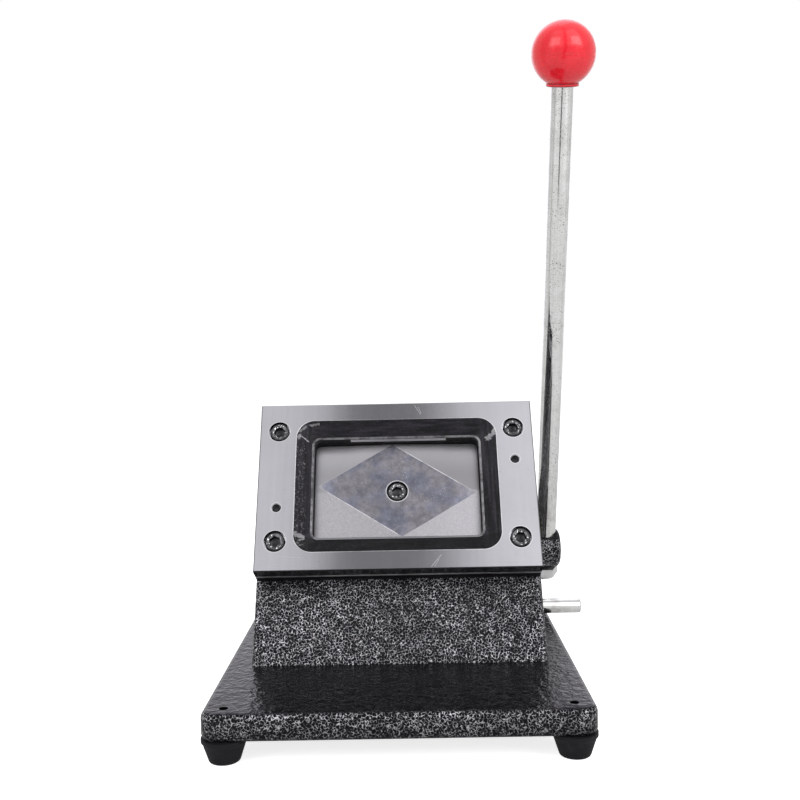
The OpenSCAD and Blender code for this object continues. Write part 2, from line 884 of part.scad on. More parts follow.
module punch() {
  color(plain_steel)
    on_face()
      difference() {
        card_block(punch_rest, punch_back_s, card_w, card_h, card_r);
        for (i = [0:3])
          corner_cut(i);
        bar_s(punch_rest - 1, punch_rest + seat_gap + head_h, head_d / 2 + head_gap);
        bar_s(punch_rest, punch_back_s + 1, screw_d / 2 + hole_gap);
        for (x = [-1, 1])
          translate([x * ram_dowel_x, 0, 0])
            bar_s(punch_back_s - ram_dowel_bite - blind_gap, punch_back_s + 1, ram_dowel_d / 2);
        four(2 * ram_screw_x, 2 * ram_screw_y)
          bar_s(punch_back_s - ram_screw_bite - 2 * blind_gap, punch_back_s + 1, ram_screw_d / 2);
      }
}

module punch_screw() {
  color(black_steel)
    on_face()
      cap_screw(punch_rest + seat_gap, screw_d - 2 * press_gap, head_d, head_h,
        punch_t - seat_gap - head_h + punch_screw_bite, key_w);
}

module ram_dowels() {
  color(plain_steel)
    on_face()
      for (x = [-1, 1])
        translate([x * ram_dowel_x, 0, 0])
          bar_s(punch_back_s - ram_dowel_bite, punch_back_s + ram_dowel_bite, ram_dowel_d / 2 - press_gap);
}

module ram() {
  color(plain_steel)
    difference() {
      union() {
        on_face()
          card_block(punch_back_s, flange_back_s, flange_w, flange_h, flange_r);
        on_shaft_axis()
          bar_s(flange_back_s - eps, seat_s, shank_d / 2);
      }
      on_face() {
        bar_s(punch_back_s - 1, punch_back_s + punch_screw_bite + 2 * blind_gap, screw_d / 2);
        for (x = [-1, 1])
          translate([x * ram_dowel_x, 0, 0])
            bar_s(punch_back_s - 1, punch_back_s + ram_dowel_bite + blind_gap, ram_dowel_d / 2);
        four(2 * ram_screw_x, 2 * ram_screw_y)
          bar_s(punch_back_s - 1, flange_back_s + 1, ram_screw_d / 2 + hole_gap);
      }
      on_shaft_axis()
        bar_s(seat_s - fork_screw_bite - 2 * blind_gap, seat_s + 1, screw_d / 2);
    }
}

// These screws point forward, from the back of the flange into the punch
module ram_screws() {
  color(black_steel)
    on_face()
      four(2 * ram_screw_x, 2 * ram_screw_y)
        mirror([0, 0, 1])
          cap_screw(-flange_back_s - ram_screw_d, ram_screw_d - 2 * press_gap, 1.7 * ram_screw_d,
            ram_screw_d, flange_t + ram_screw_bite, ram_key_w);
}

module ram_fork() {
  color(plain_steel)
    on_shaft_axis()
      difference() {
        union() {
          bar_s(seat_s, fork_slot_s - 4, seat_d / 2);
          translate([-fork_w / 2, -cheek_r, -roller_s])
            cube([fork_w, 2 * cheek_r, roller_s - seat_s - 1]);
          translate([0, 0, -roller_s])
            bar_x(-fork_w / 2, fork_w / 2, cheek_r);
        }
        translate([-fork_slot_w / 2, -seat_d, -shaft_back])
          cube([fork_slot_w, 2 * seat_d, shaft_back - fork_slot_s]);
        bar_s(fork_slot_s - head_h, shaft_back, head_d / 2 + head_gap);
        bar_s(seat_s - 1, shaft_back, screw_d / 2 + hole_gap);
        translate([0, 0, -roller_s])
          bar_x(-fork_w, fork_w, roller_pin_d / 2);
      }
}

module fork_screw() {
  color(black_steel)
    on_shaft_axis()
      mirror([0, 0, 1])
        cap_screw(-fork_slot_s, screw_d - 2 * press_gap, head_d, head_h,
          seat_t - head_h + fork_screw_bite, key_w);
}

module roller_pin() {
  color(plain_steel)
    on_shaft_axis()
      translate([0, 0, -roller_s])
        bar_x(-fork_w / 2, fork_w / 2, roller_pin_d / 2 - press_gap);
}

module cam_roller() {
  color(bright_plate)
    on_shaft_axis()
      translate([0, 0, -roller_s])
        difference() {
          bar_x(-cam_t / 2, cam_t / 2, roller_r);
          bar_x(-cam_t, cam_t, roller_pin_d / 2 - press_gap + run_gap);
        }
}

// Cam, shaft and lever

module spiral_cam() {
  color(plain_steel)
    at_shaft()
      rotate([90 - lean, 0, 0])
        difference() {
          across(-cam_t / 2, cam_t / 2)
            polygon(cam_outline);
          bar_x(-cam_t, cam_t, shaft_d / 2 + press_gap);
          cam_pin_bore(cross_pin_r);
        }
}

// The cam's cross pin runs square to the roller's direction, below the nose
module cam_pin_bore(r) {
  rotate([-90, 0, 0])
    cylinder(h = 4 * cam_base_r + 2 * travel, r = r, center = true);
}

module cam_pin() {
  color(black_steel)
    at_shaft()
      rotate([90 - lean, 0, 0])
        intersection() {
          cam_pin_bore(cross_pin_r - press_gap);
          bar_x(-cam_t, cam_t, cam_base_r - 1);
        }
}

module cam_shaft() {
  r = shaft_d / 2;
  left = -side_x - bush_flange_t - seat_gap - collar_t - 2;
  color(plain_steel)
    at_shaft()
      difference() {
        union() {
          bar_x(left + 1, shaft_end_x, r);
          translate([left, 0, 0])
            rotate([0, 90, 0])
              cylinder(h = 1 + eps, r1 = r - 1, r2 = r);
        }
        rotate([90 - lean, 0, 0])
          cam_pin_bore(cross_pin_r);
        translate([hub_pin_x, 0, 0])
          rotate([lever_lean, 0, 0])
            cylinder(h = hub_d * 2, r = cross_pin_r, center = true);
      }
}

module shaft_collar() {
  x1 = -side_x - bush_flange_t - seat_gap;
  color(plain_steel)
    at_shaft()
      difference() {
        bar_x(x1 - collar_t, x1, bush_flange_r);
        bar_x(-body_w, 0, shaft_d / 2 + press_gap);
        translate([x1 - collar_t / 2, 0, 0])
          cylinder(h = hub_d, r = 2.5);
      }
}

module collar_screw() {
  x1 = -side_x - bush_flange_t - seat_gap;
  color(black_steel)
    at_shaft()
      translate([x1 - collar_t / 2, 0, shaft_d / 2 + 0.1])
        difference() {
          cylinder(h = bush_flange_r - shaft_d / 2 - 1, r = 2.5 - press_gap);
          translate([0, 0, 3])
            cylinder(h = 10, d = 2.5 / cos(30), $fn = 6);
        }
}

module lever_hub() {
  r = hub_d / 2;
  e = hub_edge_r;
  len = hub_out_x - hub_in_x;
  color(black_paint)
    difference() {
      translate([hub_in_x, shaft_y, shaft_z])
        rotate([0, 90, 0])
          rotate_extrude()
            polygon(concat(
              [[0, len], [0, 0], [r - 1, 0], [r, 1]],
              [for (a = [0:10:90]) [r - e + e * cos(a), len - e + e * sin(a)]]));
      at_shaft()
        bar_x(0, shaft_end_x + 0.2, shaft_d / 2 + press_gap);
      on_lever() {
        cylinder(h = hub_d, r = rod_d / 2);
        translate([0, 0, -hub_d])
          cylinder(h = hub_d + 1, r = thread_r);
        translate([0, 0, -hub_d - spot_depth])
          cylinder(h = hub_d, r = nut_w / 2 + 1);
      }
      translate([hub_pin_x - lever_x, 0, 0])
        on_lever()
          cylinder(h = 2 * hub_d, r = cross_pin_r, center = true);
    }
}

module hub_pin() {
  color(plain_steel)
    translate([hub_pin_x - lever_x, 0, 0])
      on_lever()
        cylinder(h = hub_d - 1, r = cross_pin_r - press_gap, center = true);
}

module lever_rod() {
  color(bright_plate)
    on_lever() {
      cylinder(h = lever_len, r = rod_d / 2 - press_gap);
      translate([0, 0, -spot_depth - washer_t - 5])
        cylinder(h = spot_depth + washer_t + 5 + eps, r = thread_r - press_gap);
    }
}

module rod_washer() {
  color(black_steel)
    on_lever()
      difference() {
        translate([0, 0, -spot_depth - washer_t])
          cylinder(h = washer_t, r = nut_w / 2);
        translate([0, 0, -hub_d])
          cylinder(h = hub_d, r = thread_r + 0.2);
        translate([0, -0.6, -hub_d])
          cube([hub_d, 1.2, hub_d]);
      }
}

module rod_nut() {
  flats_h = 5.5;
  dome_r = nut_w / 2 - 0.3;
  dome_h = nut_h - flats_h;
  sphere_r = (dome_r * dome_r + dome_h * dome_h) / (2 * dome_h);
  low = -spot_depth - washer_t - flats_h;
  color(bright_plate)
    on_lever()
      difference() {
        union() {
          translate([0, 0, low])
            cylinder(h = flats_h, d = nut_w / cos(30), $fn = 6);
          intersection() {
            translate([0, 0, low - dome_h + sphere_r])
              sphere(sphere_r);
            translate([0, 0, low - dome_h])
              cylinder(h = dome_h + eps, r = dome_r);
          }
        }
        translate([0, 0, low - 0.3])
          cylinder(h = flats_h + 1, r = thread_r);
      }
}

module ball_knob() {
  r = ball_d / 2;
  neck_r = r * 0.52;
  neck_low = -r - 0.6;
  start_a = -acos((neck_r - 0.2) / r);
  color(knob_red)
    on_lever()
      translate([0, 0, lever_len])
        difference() {
          rotate_extrude($fn = 96)
            polygon(concat(
              [[0, neck_low], [neck_r, neck_low]],
              [for (i = [0:30]) let (a = start_a + (90 - start_a) * i / 30) [r * cos(a), r * sin(a)]]));
          translate([0, 0, -2 * r])
            cylinder(h = 2 * r + seat_gap, r = rod_d / 2);
        }
}

base_plate();
foot_front_left();
foot_front_right();
foot_rear_left();
foot_rear_right();
foot_screws();
body_casting();
casting_bolts();
backing_shim();
guide_plate();
slot_spacers();
die_plate();
die_screws();
dowel_pins();
shaft_bush_left();
shaft_bush_right();
guide_bush();
stop_pin();
return_spring();
punch();
punch_screw();
ram_dowels();
ram();
ram_screws();
ram_fork();
fork_screw();
roller_pin();
cam_roller();
cam_shaft();
spiral_cam();
cam_pin();
shaft_collar();
collar_screw();
lever_hub();
hub_pin();
lever_rod();
rod_washer();
rod_nut();
ball_knob();
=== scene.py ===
"""Looks of a desk card die cutter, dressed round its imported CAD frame.

Every length is in metres, in the frame of the CAD row: +Z up, -Y towards the
user, +X towards the lever, with the rubber feet on Z = 0.
"""

import json
import logging
import math
from collections.abc import Callable, Iterable
from dataclasses import dataclass
from enum import Enum
from functools import reduce

import bmesh
import bpy
from mathutils import Matrix, Vector

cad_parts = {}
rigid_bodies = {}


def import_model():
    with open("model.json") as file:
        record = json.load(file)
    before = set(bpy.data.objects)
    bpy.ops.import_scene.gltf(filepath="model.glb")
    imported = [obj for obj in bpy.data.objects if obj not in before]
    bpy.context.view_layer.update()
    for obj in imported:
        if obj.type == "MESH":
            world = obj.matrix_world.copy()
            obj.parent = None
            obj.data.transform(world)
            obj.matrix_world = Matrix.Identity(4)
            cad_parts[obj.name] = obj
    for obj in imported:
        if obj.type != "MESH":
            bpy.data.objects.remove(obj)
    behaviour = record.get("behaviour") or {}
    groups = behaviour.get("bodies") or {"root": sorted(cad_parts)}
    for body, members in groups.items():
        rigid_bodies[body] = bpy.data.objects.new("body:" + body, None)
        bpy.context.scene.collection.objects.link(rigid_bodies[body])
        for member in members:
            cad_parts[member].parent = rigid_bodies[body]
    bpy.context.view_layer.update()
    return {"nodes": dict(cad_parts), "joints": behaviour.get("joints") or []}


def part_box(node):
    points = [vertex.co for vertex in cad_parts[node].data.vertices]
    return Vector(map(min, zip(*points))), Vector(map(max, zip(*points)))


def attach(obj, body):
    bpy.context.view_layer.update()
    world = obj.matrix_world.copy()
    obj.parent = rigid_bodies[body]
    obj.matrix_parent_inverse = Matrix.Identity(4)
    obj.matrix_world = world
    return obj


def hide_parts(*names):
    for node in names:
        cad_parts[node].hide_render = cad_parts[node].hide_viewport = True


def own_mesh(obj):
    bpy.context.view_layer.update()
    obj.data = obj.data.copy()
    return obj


for leftover in list(bpy.data.objects):
    bpy.data.objects.remove(leftover)

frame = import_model()

LOG = logging.getLogger("card_die_cutter")

MM = 0.001
Socket = bpy.types.NodeSocket
Object = bpy.types.Object
Material = bpy.types.Material
Pair = tuple[float, float]
Point = tuple[float, float, float]
Shade = tuple[float, float, float]
ORIGIN: Point = (0.0, 0.0, 0.0)
WHITE: Shade = (1.0, 1.0, 1.0)


class Body(Enum):
    """The moving bodies that pieces ride on."""

    ROOT = "root"
    RAM = "ram"
    LEVER = "lever"


class Slot(Enum):
    """Names of the record's material slots."""

    BLACK_OXIDE = "black_oxide"
    RED_KNOB = "red_knob"
    HUB_PAINT = "hub_paint"
    SPRING = "spring_steel"
    WASHER = "washer_black"
    SHIM = "shim_steel"
    PLATING = "bright_plating"


@dataclass(frozen=True)
class DieFace:
    """The leaning die face, with depths counted back from its front.

    A card outline is half its width, half its height and its corner radius.
    """

    lean: float = math.radians(30.0)
    die_thickness: float = 8.5 * MM
    plate_half: Pair = (71.0 * MM, 45.5 * MM)
    plate_chamfer: float = 0.5 * MM
    card: Point = (43.0 * MM, 27.0 * MM, 3.2 * MM)
    screws: Pair = (61.0 * MM, 30.0 * MM)
    dowels: Pair = (61.0 * MM, 12.2 * MM)
    counterbore: float = 5.55 * MM
    dowel_radius: float = 2.5 * MM
    shaft_rise: float = 10.0 * MM

    @property
    def outward(self) -> Vector:
        """Direction out of the face, towards the user."""
        return Vector((0.0, -math.cos(self.lean), math.sin(self.lean)))

    @property
    def upward(self) -> Vector:
        """Direction up the face."""
        return Vector((0.0, math.sin(self.lean), math.cos(self.lean)))

    @property
    def centre(self) -> Vector:
        """Middle of the die plate's front."""
        low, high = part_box("die_plate")
        return (low + high) / 2 + self.outward * self.die_thickness / 2

    def at(self, side: float, up: float, depth: float) -> Vector:
        """Place of a point on or behind the face.

        Args:
            side: Distance to the right of the middle.
            up: Distance up the face from the middle.
            depth: Distance behind the front of the die plate.

        Returns:
            The point in the row frame.
        """
        out = self.centre + Vector((side, 0.0, 0.0))
        return out + self.upward * up - self.outward * depth

    def matrix(self, side: float, up: float, depth: float) -> Matrix:
        """Frame at such a point, whose Z points out of the face and whose Y points up it."""
        turn = Matrix.Rotation(math.pi / 2 - self.lean, 4, "X")
        return Matrix.Translation(self.at(side, up, depth)) @ turn


@dataclass(frozen=True)
class LeverLine:
    """The line of the lever rod at rest."""

    lean: float = math.radians(18.5)
    length: float = 297.0 * MM
    side: float = 92.0 * MM

    @property
    def hinge(self) -> Vector:
        """Where the rod crosses the shaft."""
        joint = next(j for j in frame["joints"] if j["name"] == "lever_hinge")
        return Vector((self.side, *joint["pos_m"][1:]))

    @property
    def along(self) -> Vector:
        """Direction from the shaft to the knob."""
        return Vector((0.0, -math.sin(self.lean), math.cos(self.lean)))

    def matrix(self, reach: float) -> Matrix:
        """Frame on the rod's axis at a distance from the shaft, with Z along the rod."""
        turn = Matrix.Rotation(self.lean, 4, "X")
        return Matrix.Translation(self.hinge + self.along * reach) @ turn


class Signal:
    """A number, vector or colour in a node tree, with the usual arithmetic for numbers."""

    def __init__(self, words: "NodeWords", socket: Socket) -> None:
        """Keeps an output of a node together with its tree.

        Args:
            words: The words of the tree.
            socket: The output.
        """
        self.words = words
        self.socket = socket

    def __add__(self, other: "Number") -> "Signal":
        """The sum of two numbers."""
        return self.words.maths("ADD", self, other)

    def __sub__(self, other: "Number") -> "Signal":
        """This number less another."""
        return self.words.maths("SUBTRACT", self, other)

    def __rsub__(self, other: float) -> "Signal":
        """A plain number less this one."""
        return self.words.maths("SUBTRACT", other, self)

    def __mul__(self, other: "Number") -> "Signal":
        """The product of two numbers."""
        return self.words.maths("MULTIPLY", self, other)

    def __abs__(self) -> "Signal":
        """The number without its sign."""
        return self.words.maths("ABSOLUTE", self)

    def most(self, other: "Number") -> "Signal":
        """The greater of two numbers."""
        return self.words.maths("MAXIMUM", self, other)

    def least(self, other: "Number") -> "Signal":
        """The smaller of two numbers."""
        return self.words.maths("MINIMUM", self, other)

    def span(self, low: "Number", high: "Number", first: float = 0.0, last: float = 1.0) -> "Signal":
        """Maps a range smoothly to another and stops at its ends.

        Args:
            low: Start of the range.
            high: End of the range.
            first: Result at the start.
            last: Result at the end.

        Returns:
            The mapped number.
        """
        inputs = dict(enumerate((self, low, high, first, last)))
        return self.words.take("ShaderNodeMapRange", 0, inputs, interpolation_type="SMOOTHSTEP")

    def fade(self, low: "Number", high: "Number") -> "Signal":
        """One below a range, falling smoothly to zero above it."""
        return self.span(low, high, 1.0, 0.0)

    def band(self, rise: Pair, fall: Pair) -> "Signal":
        """One between a range in which it rises and a range in which it falls."""
        return self.span(*rise) * self.fade(*fall)


Number = Signal | float
Place = Signal | Point
Colour = Signal | Shade


class NodeWords:
    """Short words for the nodes of a shader tree."""

    def __init__(self, tree: bpy.types.NodeTree, coordinates: str) -> None:
        """Empties a tree and takes up its coordinates.

        Args:
            tree: The tree.
            coordinates: The texture coordinates that places are given in.
        """
        self.tree = tree
        self.tree.nodes.clear()
        self.place = self.take("ShaderNodeTexCoord", coordinates, {})

    def feed(self, target: Socket, value: Number | Place | Colour) -> None:
        """Links a signal to an input, or sets the input's own value.

        Args:
            target: The input.
            value: A signal, or a number, vector or colour.
        """
        if isinstance(value, Signal):
            self.tree.links.new(value.socket, target)
        elif target.type == "RGBA":
            target.default_value = (*value, 1.0)
        else:
            target.default_value = value

    def take(self, kind: str, output: str | int, inputs: dict, **settings: str) -> Signal:
        """Adds a node, feeds it and takes one of its outputs.

        Args:
            kind: Blender's name of the node type.
            output: Name or number of the output.
            inputs: What goes into its inputs, by their names or numbers.
            **settings: Properties of the node.

        Returns:
            The output.
        """
        node = self.tree.nodes.new(kind)
        for key, value in settings.items():
            setattr(node, key, value)
        for key, value in inputs.items():
            self.feed(node.inputs[key], value)
        return Signal(self, node.outputs[output])

    def maths(self, operation: str, a: Number, b: Number = 0.0) -> Signal:
        """Works out a number with one of the Math node's operations."""
        return self.take("ShaderNodeMath", 0, {0: a, 1: b}, operation=operation)

    def vector(self, operation: str, a: Place, b: Place, output: str = "Vector") -> Signal:
        """Works out a vector, or a number where the output is Value."""
        return self.take("ShaderNodeVectorMath", output, {0: a, 1: b}, operation=operation)

    def along(self, direction: Vector, origin: Vector) -> Signal:
        """Distance of the shaded point from an origin, along a direction."""
        offset = self.vector("SUBTRACT", self.place, tuple(origin))
        return self.vector("DOT_PRODUCT", offset, tuple(direction), "Value")

    def away(self, point: Point = ORIGIN, at: Place | None = None) -> Signal:
        """Distance from a point."""
        return self.vector("DISTANCE", at or self.place, point, "Value")

    def gather(self, x: Number, y: Number, z: Number) -> Signal:
        """Joins three numbers into a vector."""
        return self.take("ShaderNodeCombineXYZ", 0, {0: x, 1: y, 2: z})

    def parts(self, vector: Signal) -> list[Signal]:
        """Splits a vector into its three numbers."""
        return [self.take("ShaderNodeSeparateXYZ", axis, {0: vector}) for axis in range(3)]

    def noise(
        self,
        size: float,
        at: Place | None = None,
        detail: float = 3.0,
        rough: float = 0.55,
        seed: float = 0.0,
        output: str = "Fac",
    ) -> Signal:
        """Cloudy noise.

        Args:
            size: Width of a cloud, in the units of the coordinates.
            at: Coordinates, or none for the object's own.
            detail: Octaves.
            rough: Strength of the finer octaves.
            seed: Place along the fourth dimension.
            output: Fac for one noise, or Color for three.

        Returns:
            Noise between 0 and 1.
        """
        inputs = {"Vector": at or self.place, "W": seed, "Scale": 1.0 / size, "Detail": detail}
        inputs["Roughness"] = rough
        return self.take("ShaderNodeTexNoise", output, inputs, noise_dimensions="4D")

    def streaks(self, size: Point, at: Place | None = None, **settings: float) -> Signal:
        """Noise drawn out to the given lengths along X, Y and Z."""
        scale = tuple(1.0 / edge for edge in size)
        return self.noise(1.0, self.vector("MULTIPLY", at or self.place, scale), **settings)

    def cell_edges(self, size: float, at: Place) -> Signal:
        """Distance from the borders of cells of a size, in cell widths."""
        inputs = {"Vector": at, "Scale": 1.0 / size}
        return self.take("ShaderNodeTexVoronoi", "Distance", inputs, feature="DISTANCE_TO_EDGE")

    def shaken(self, at: Place, size: float, reach: float) -> Signal:
        """Coordinates pushed about by noise.

        Args:
            at: Coordinates.
            size: Width of a push.
            reach: Furthest push.

        Returns:
            The new coordinates.
        """
        push = self.noise(size, at, detail=2.0, output="Color")
        centred = self.vector("SUBTRACT", push, (0.5, 0.5, 0.5))
        return self.vector("ADD", at, self.scaled(centred, 2 * reach))

    def blend(self, share: Number, a: Colour, b: Colour) -> Signal:
        """Mixes two colours."""
        return self.take("ShaderNodeMix", 2, {0: share, 6: a, 7: b}, data_type="RGBA")

    def between(self, share: Number, a: Number, b: Number) -> Signal:
        """Mixes two numbers."""
        return self.take("ShaderNodeMix", 0, {0: share, 2: a, 3: b}, data_type="FLOAT")

    def scaled(self, colour: Colour, gain: Number) -> Signal:
        """Makes a colour brighter or darker, or a vector longer or shorter."""
        return self.take("ShaderNodeVectorMath", 0, {0: colour, "Scale": gain}, operation="SCALE")

    def mirrored(self) -> Signal:
        """One for rays from a mirror."""
        return self.take("ShaderNodeLightPath", "Is Glossy Ray", {})

    def seen(self) -> Signal:
        """Tells the rays that show the scene from those that only light it.

        Returns:
            One for rays from the camera, a mirror or a clear part.
        """
        camera = self.take("ShaderNodeLightPath", "Is Camera Ray", {})
        clear = self.take("ShaderNodeLightPath", "Is Transmission Ray", {})
        return camera.most(self.mirrored()).most(clear)


class Recipe(NodeWords):
    """The node tree of one finish."""

    def __init__(self, name: str) -> None:
        """Starts a tree with a Principled shader on its output.

        Args:
            name: Name of the material.
        """
        self.material = bpy.data.materials.new(name)
        self.material.use_nodes = True
        super().__init__(self.material.node_tree, "Object")
        self.shader = self.tree.nodes.new("ShaderNodeBsdfPrincipled")
        output = self.tree.nodes.new("ShaderNodeOutputMaterial")
        self.tree.links.new(self.shader.outputs[0], output.inputs["Surface"])

    def bump(self, height: Number, depth: float) -> None:
        """Presses a height map into the surface, where a height of 1 has a real depth."""
        normal = self.take("ShaderNodeBump", 0, {"Distance": depth, "Height": height})
        self.feed(self.shader.inputs["Normal"], normal)

    def surface(self, colour: Colour, rough: Number, metal: Number = 0.0, **others: Number | Place) -> None:
        """Sets the inputs of the shader.

        Args:
            colour: Base colour.
            rough: Roughness.
            metal: Share of bare metal.
            **others: Further inputs, by their names with underscores.
        """
        inputs = {"Base Color": colour, "Roughness": rough, "Metallic": metal}
        for key, value in others.items():
            inputs[key.replace("_", " ").title().replace("Ior", "IOR")] = value
        for key, value in inputs.items():
            self.feed(self.shader.inputs[key], value)


class FaceRecipe(Recipe):
    """A finish that knows where the shaded point lies on the die face."""

    def __init__(self, name: str, face: DieFace) -> None:
        """Starts the tree, and measures from the middle of the die plate's front.

        Args:
            name: Name of the material.
            face: The die face.
        """
        super().__init__(name)
        self.side = self.along(Vector((1.0, 0.0, 0.0)), face.centre)
        self.up = self.along(face.upward, face.centre)
        self.depth = self.along(-face.outward, face.centre)
        self.flat = self.gather(self.side, self.up, 0.0)
        self.solid = self.gather(self.side, self.up, self.depth)
        self.upward = self.gather(0.0, *face.upward.yz)

    def past_card(self, outline: Point) -> Signal:
        """Distance outside a card outline, and below zero inside it.

        Args:
            outline: Half the width, half the height and the corner radius.

        Returns:
            The distance.
        """
        half_width, half_height, corner = outline
        x = abs(self.side) - (half_width - corner)
        y = abs(self.up) - (half_height - corner)
        past = self.away(ORIGIN, self.gather(x.most(0.0), y.most(0.0), 0.0))
        return past + x.most(y).least(0.0) - corner

    def stroke(self, start: Pair, end: Pair) -> tuple[Signal, Signal, float]:
        """Measures from a short straight line on the face.

        Args:
            start: One end of the line, to the right of the middle and up, in millimetres.
            end: Its other end.

        Returns:
            Distance from the line's middle along it, distance to its right, and half its length.
        """
        (u0, w0), (u1, w1) = start, end
        length = math.hypot(u1 - u0, w1 - w0)
        du, dw = (u1 - u0) / length, (w1 - w0) / length
        x = self.side - (u0 + u1) / 2 * MM
        y = self.up - (w0 + w1) / 2 * MM
        return abs(x * du + y * dw), x * dw - y * du, length / 2 * MM


@dataclass(frozen=True)
class HammeredEnamel:
    """Black hammered enamel, with fine silver veins between dimpled cells.

    The silver is kept faint on upward faces, and can be dimmed towards a foot and left out of drilled holes,
    all as painted shade. It can also leave the end of the hub that holds the rod plain.
    """

    name: str
    cell: float = 1.4 * MM
    dark: Shade = (0.0026, 0.0025, 0.0034)
    silver: Shade = (0.37, 0.37, 0.39)
    cover: float = 1.0
    vein_widths: Pair = (0.055, 0.15)
    drilled: Pair | None = None
    drill_radius: float = 2.3 * MM
    unshaded_above: float = 0.0
    plain_end: LeverLine | None = None
    plain_reach: Pair = (9.0 * MM, 9.8 * MM)
    shaded_top_silver: float = 0.07
    top_ripple: float = 16.0
    relief: float = 0.05 * MM
    gloss_tint: Shade = (0.91, 0.885, 1.0)

    def outside_shaded_holes(self, r: Recipe) -> Signal:
        """Mask of the silver outside the four drilled holes, whose insides get painted shade.

        Args:
            r: The recipe being written.

        Returns:
            0 in the holes and 1 outside them.
        """
        x, y, _ = r.parts(r.place)
        across = abs(x) - self.drilled[0]
        along = abs(y) - self.drilled[1]
        square = across * across + along * along
        return square.span(self.drill_radius**2, (self.drill_radius * 1.1) ** 2)

    def make(self) -> Material:
        """Builds the material.

        Returns:
            The material.
        """
        r = Recipe(self.name)
        level = r.parts(r.take("ShaderNodeNewGeometry", "Normal", {}))[2]
        flat_top = level.span(0.7, 0.97)

        # silver floats to the borders of the cells, in crooked and broken veins
        at = r.shaken(r.shaken(r.place, 2.8 * MM, 0.7 * MM), 0.8 * MM, 0.25 * MM)
        edge = r.cell_edges(self.cell, at)
        width = r.noise(5.5 * MM).span(0.32, 0.68, *self.vein_widths)
        vein = edge.fade(width * 0.3, width)
        glint = r.noise(0.85 * MM, detail=1.5, seed=3.0).span(0.38, 0.66, 0.06, 1.9)
        cloudy = r.noise(26.0 * MM, detail=2.0, seed=5.0).span(0.3, 0.7, 0.8, 1.15)
        # painted shade: upward faces keep only a small share of the silver
        bright = glint * cloudy * r.between(flat_top, 1.0, self.shaded_top_silver)
        # painted shade: below a height the silver is dimmed, more towards the foot
        if self.unshaded_above > 0.0:
            height = r.parts(r.place)[2]
            bright = bright * height.span(self.unshaded_above / 2, self.unshaded_above, 0.4, 1.0)
        if self.plain_end is not None:
            reach = r.along(self.plain_end.along, self.plain_end.hinge)
            bright = bright * reach.span(*self.plain_reach, 1.0, 0.1)
        # painted shade: no silver inside the drilled holes
        if self.drilled is not None:
            bright = bright * self.outside_shaded_holes(r)

        haze = r.noise(1.4 * MM, rough=0.7, seed=7.0).span(0.45, 0.8, 0.3, 1.5)
        colour = r.blend(vein, r.scaled(self.dark, haze), r.scaled(self.silver, bright * self.cover))
        rough = r.between(flat_top, r.between(vein, 0.3, 0.42), 0.15)
        metal = vein * r.between(flat_top, 0.3, 0.0)
        r.surface(colour, rough, metal, specular_ior_level=0.13, specular_tint=self.gloss_tint)
        dome = edge.span(0.0, 0.42) * r.between(flat_top, 1.0, 0.2)
        ripple = r.noise(3.4 * MM, detail=2.0, seed=9.0) * r.between(flat_top, 1.0, self.top_ripple)
        r.bump(dome + ripple, self.relief)
        return r.material


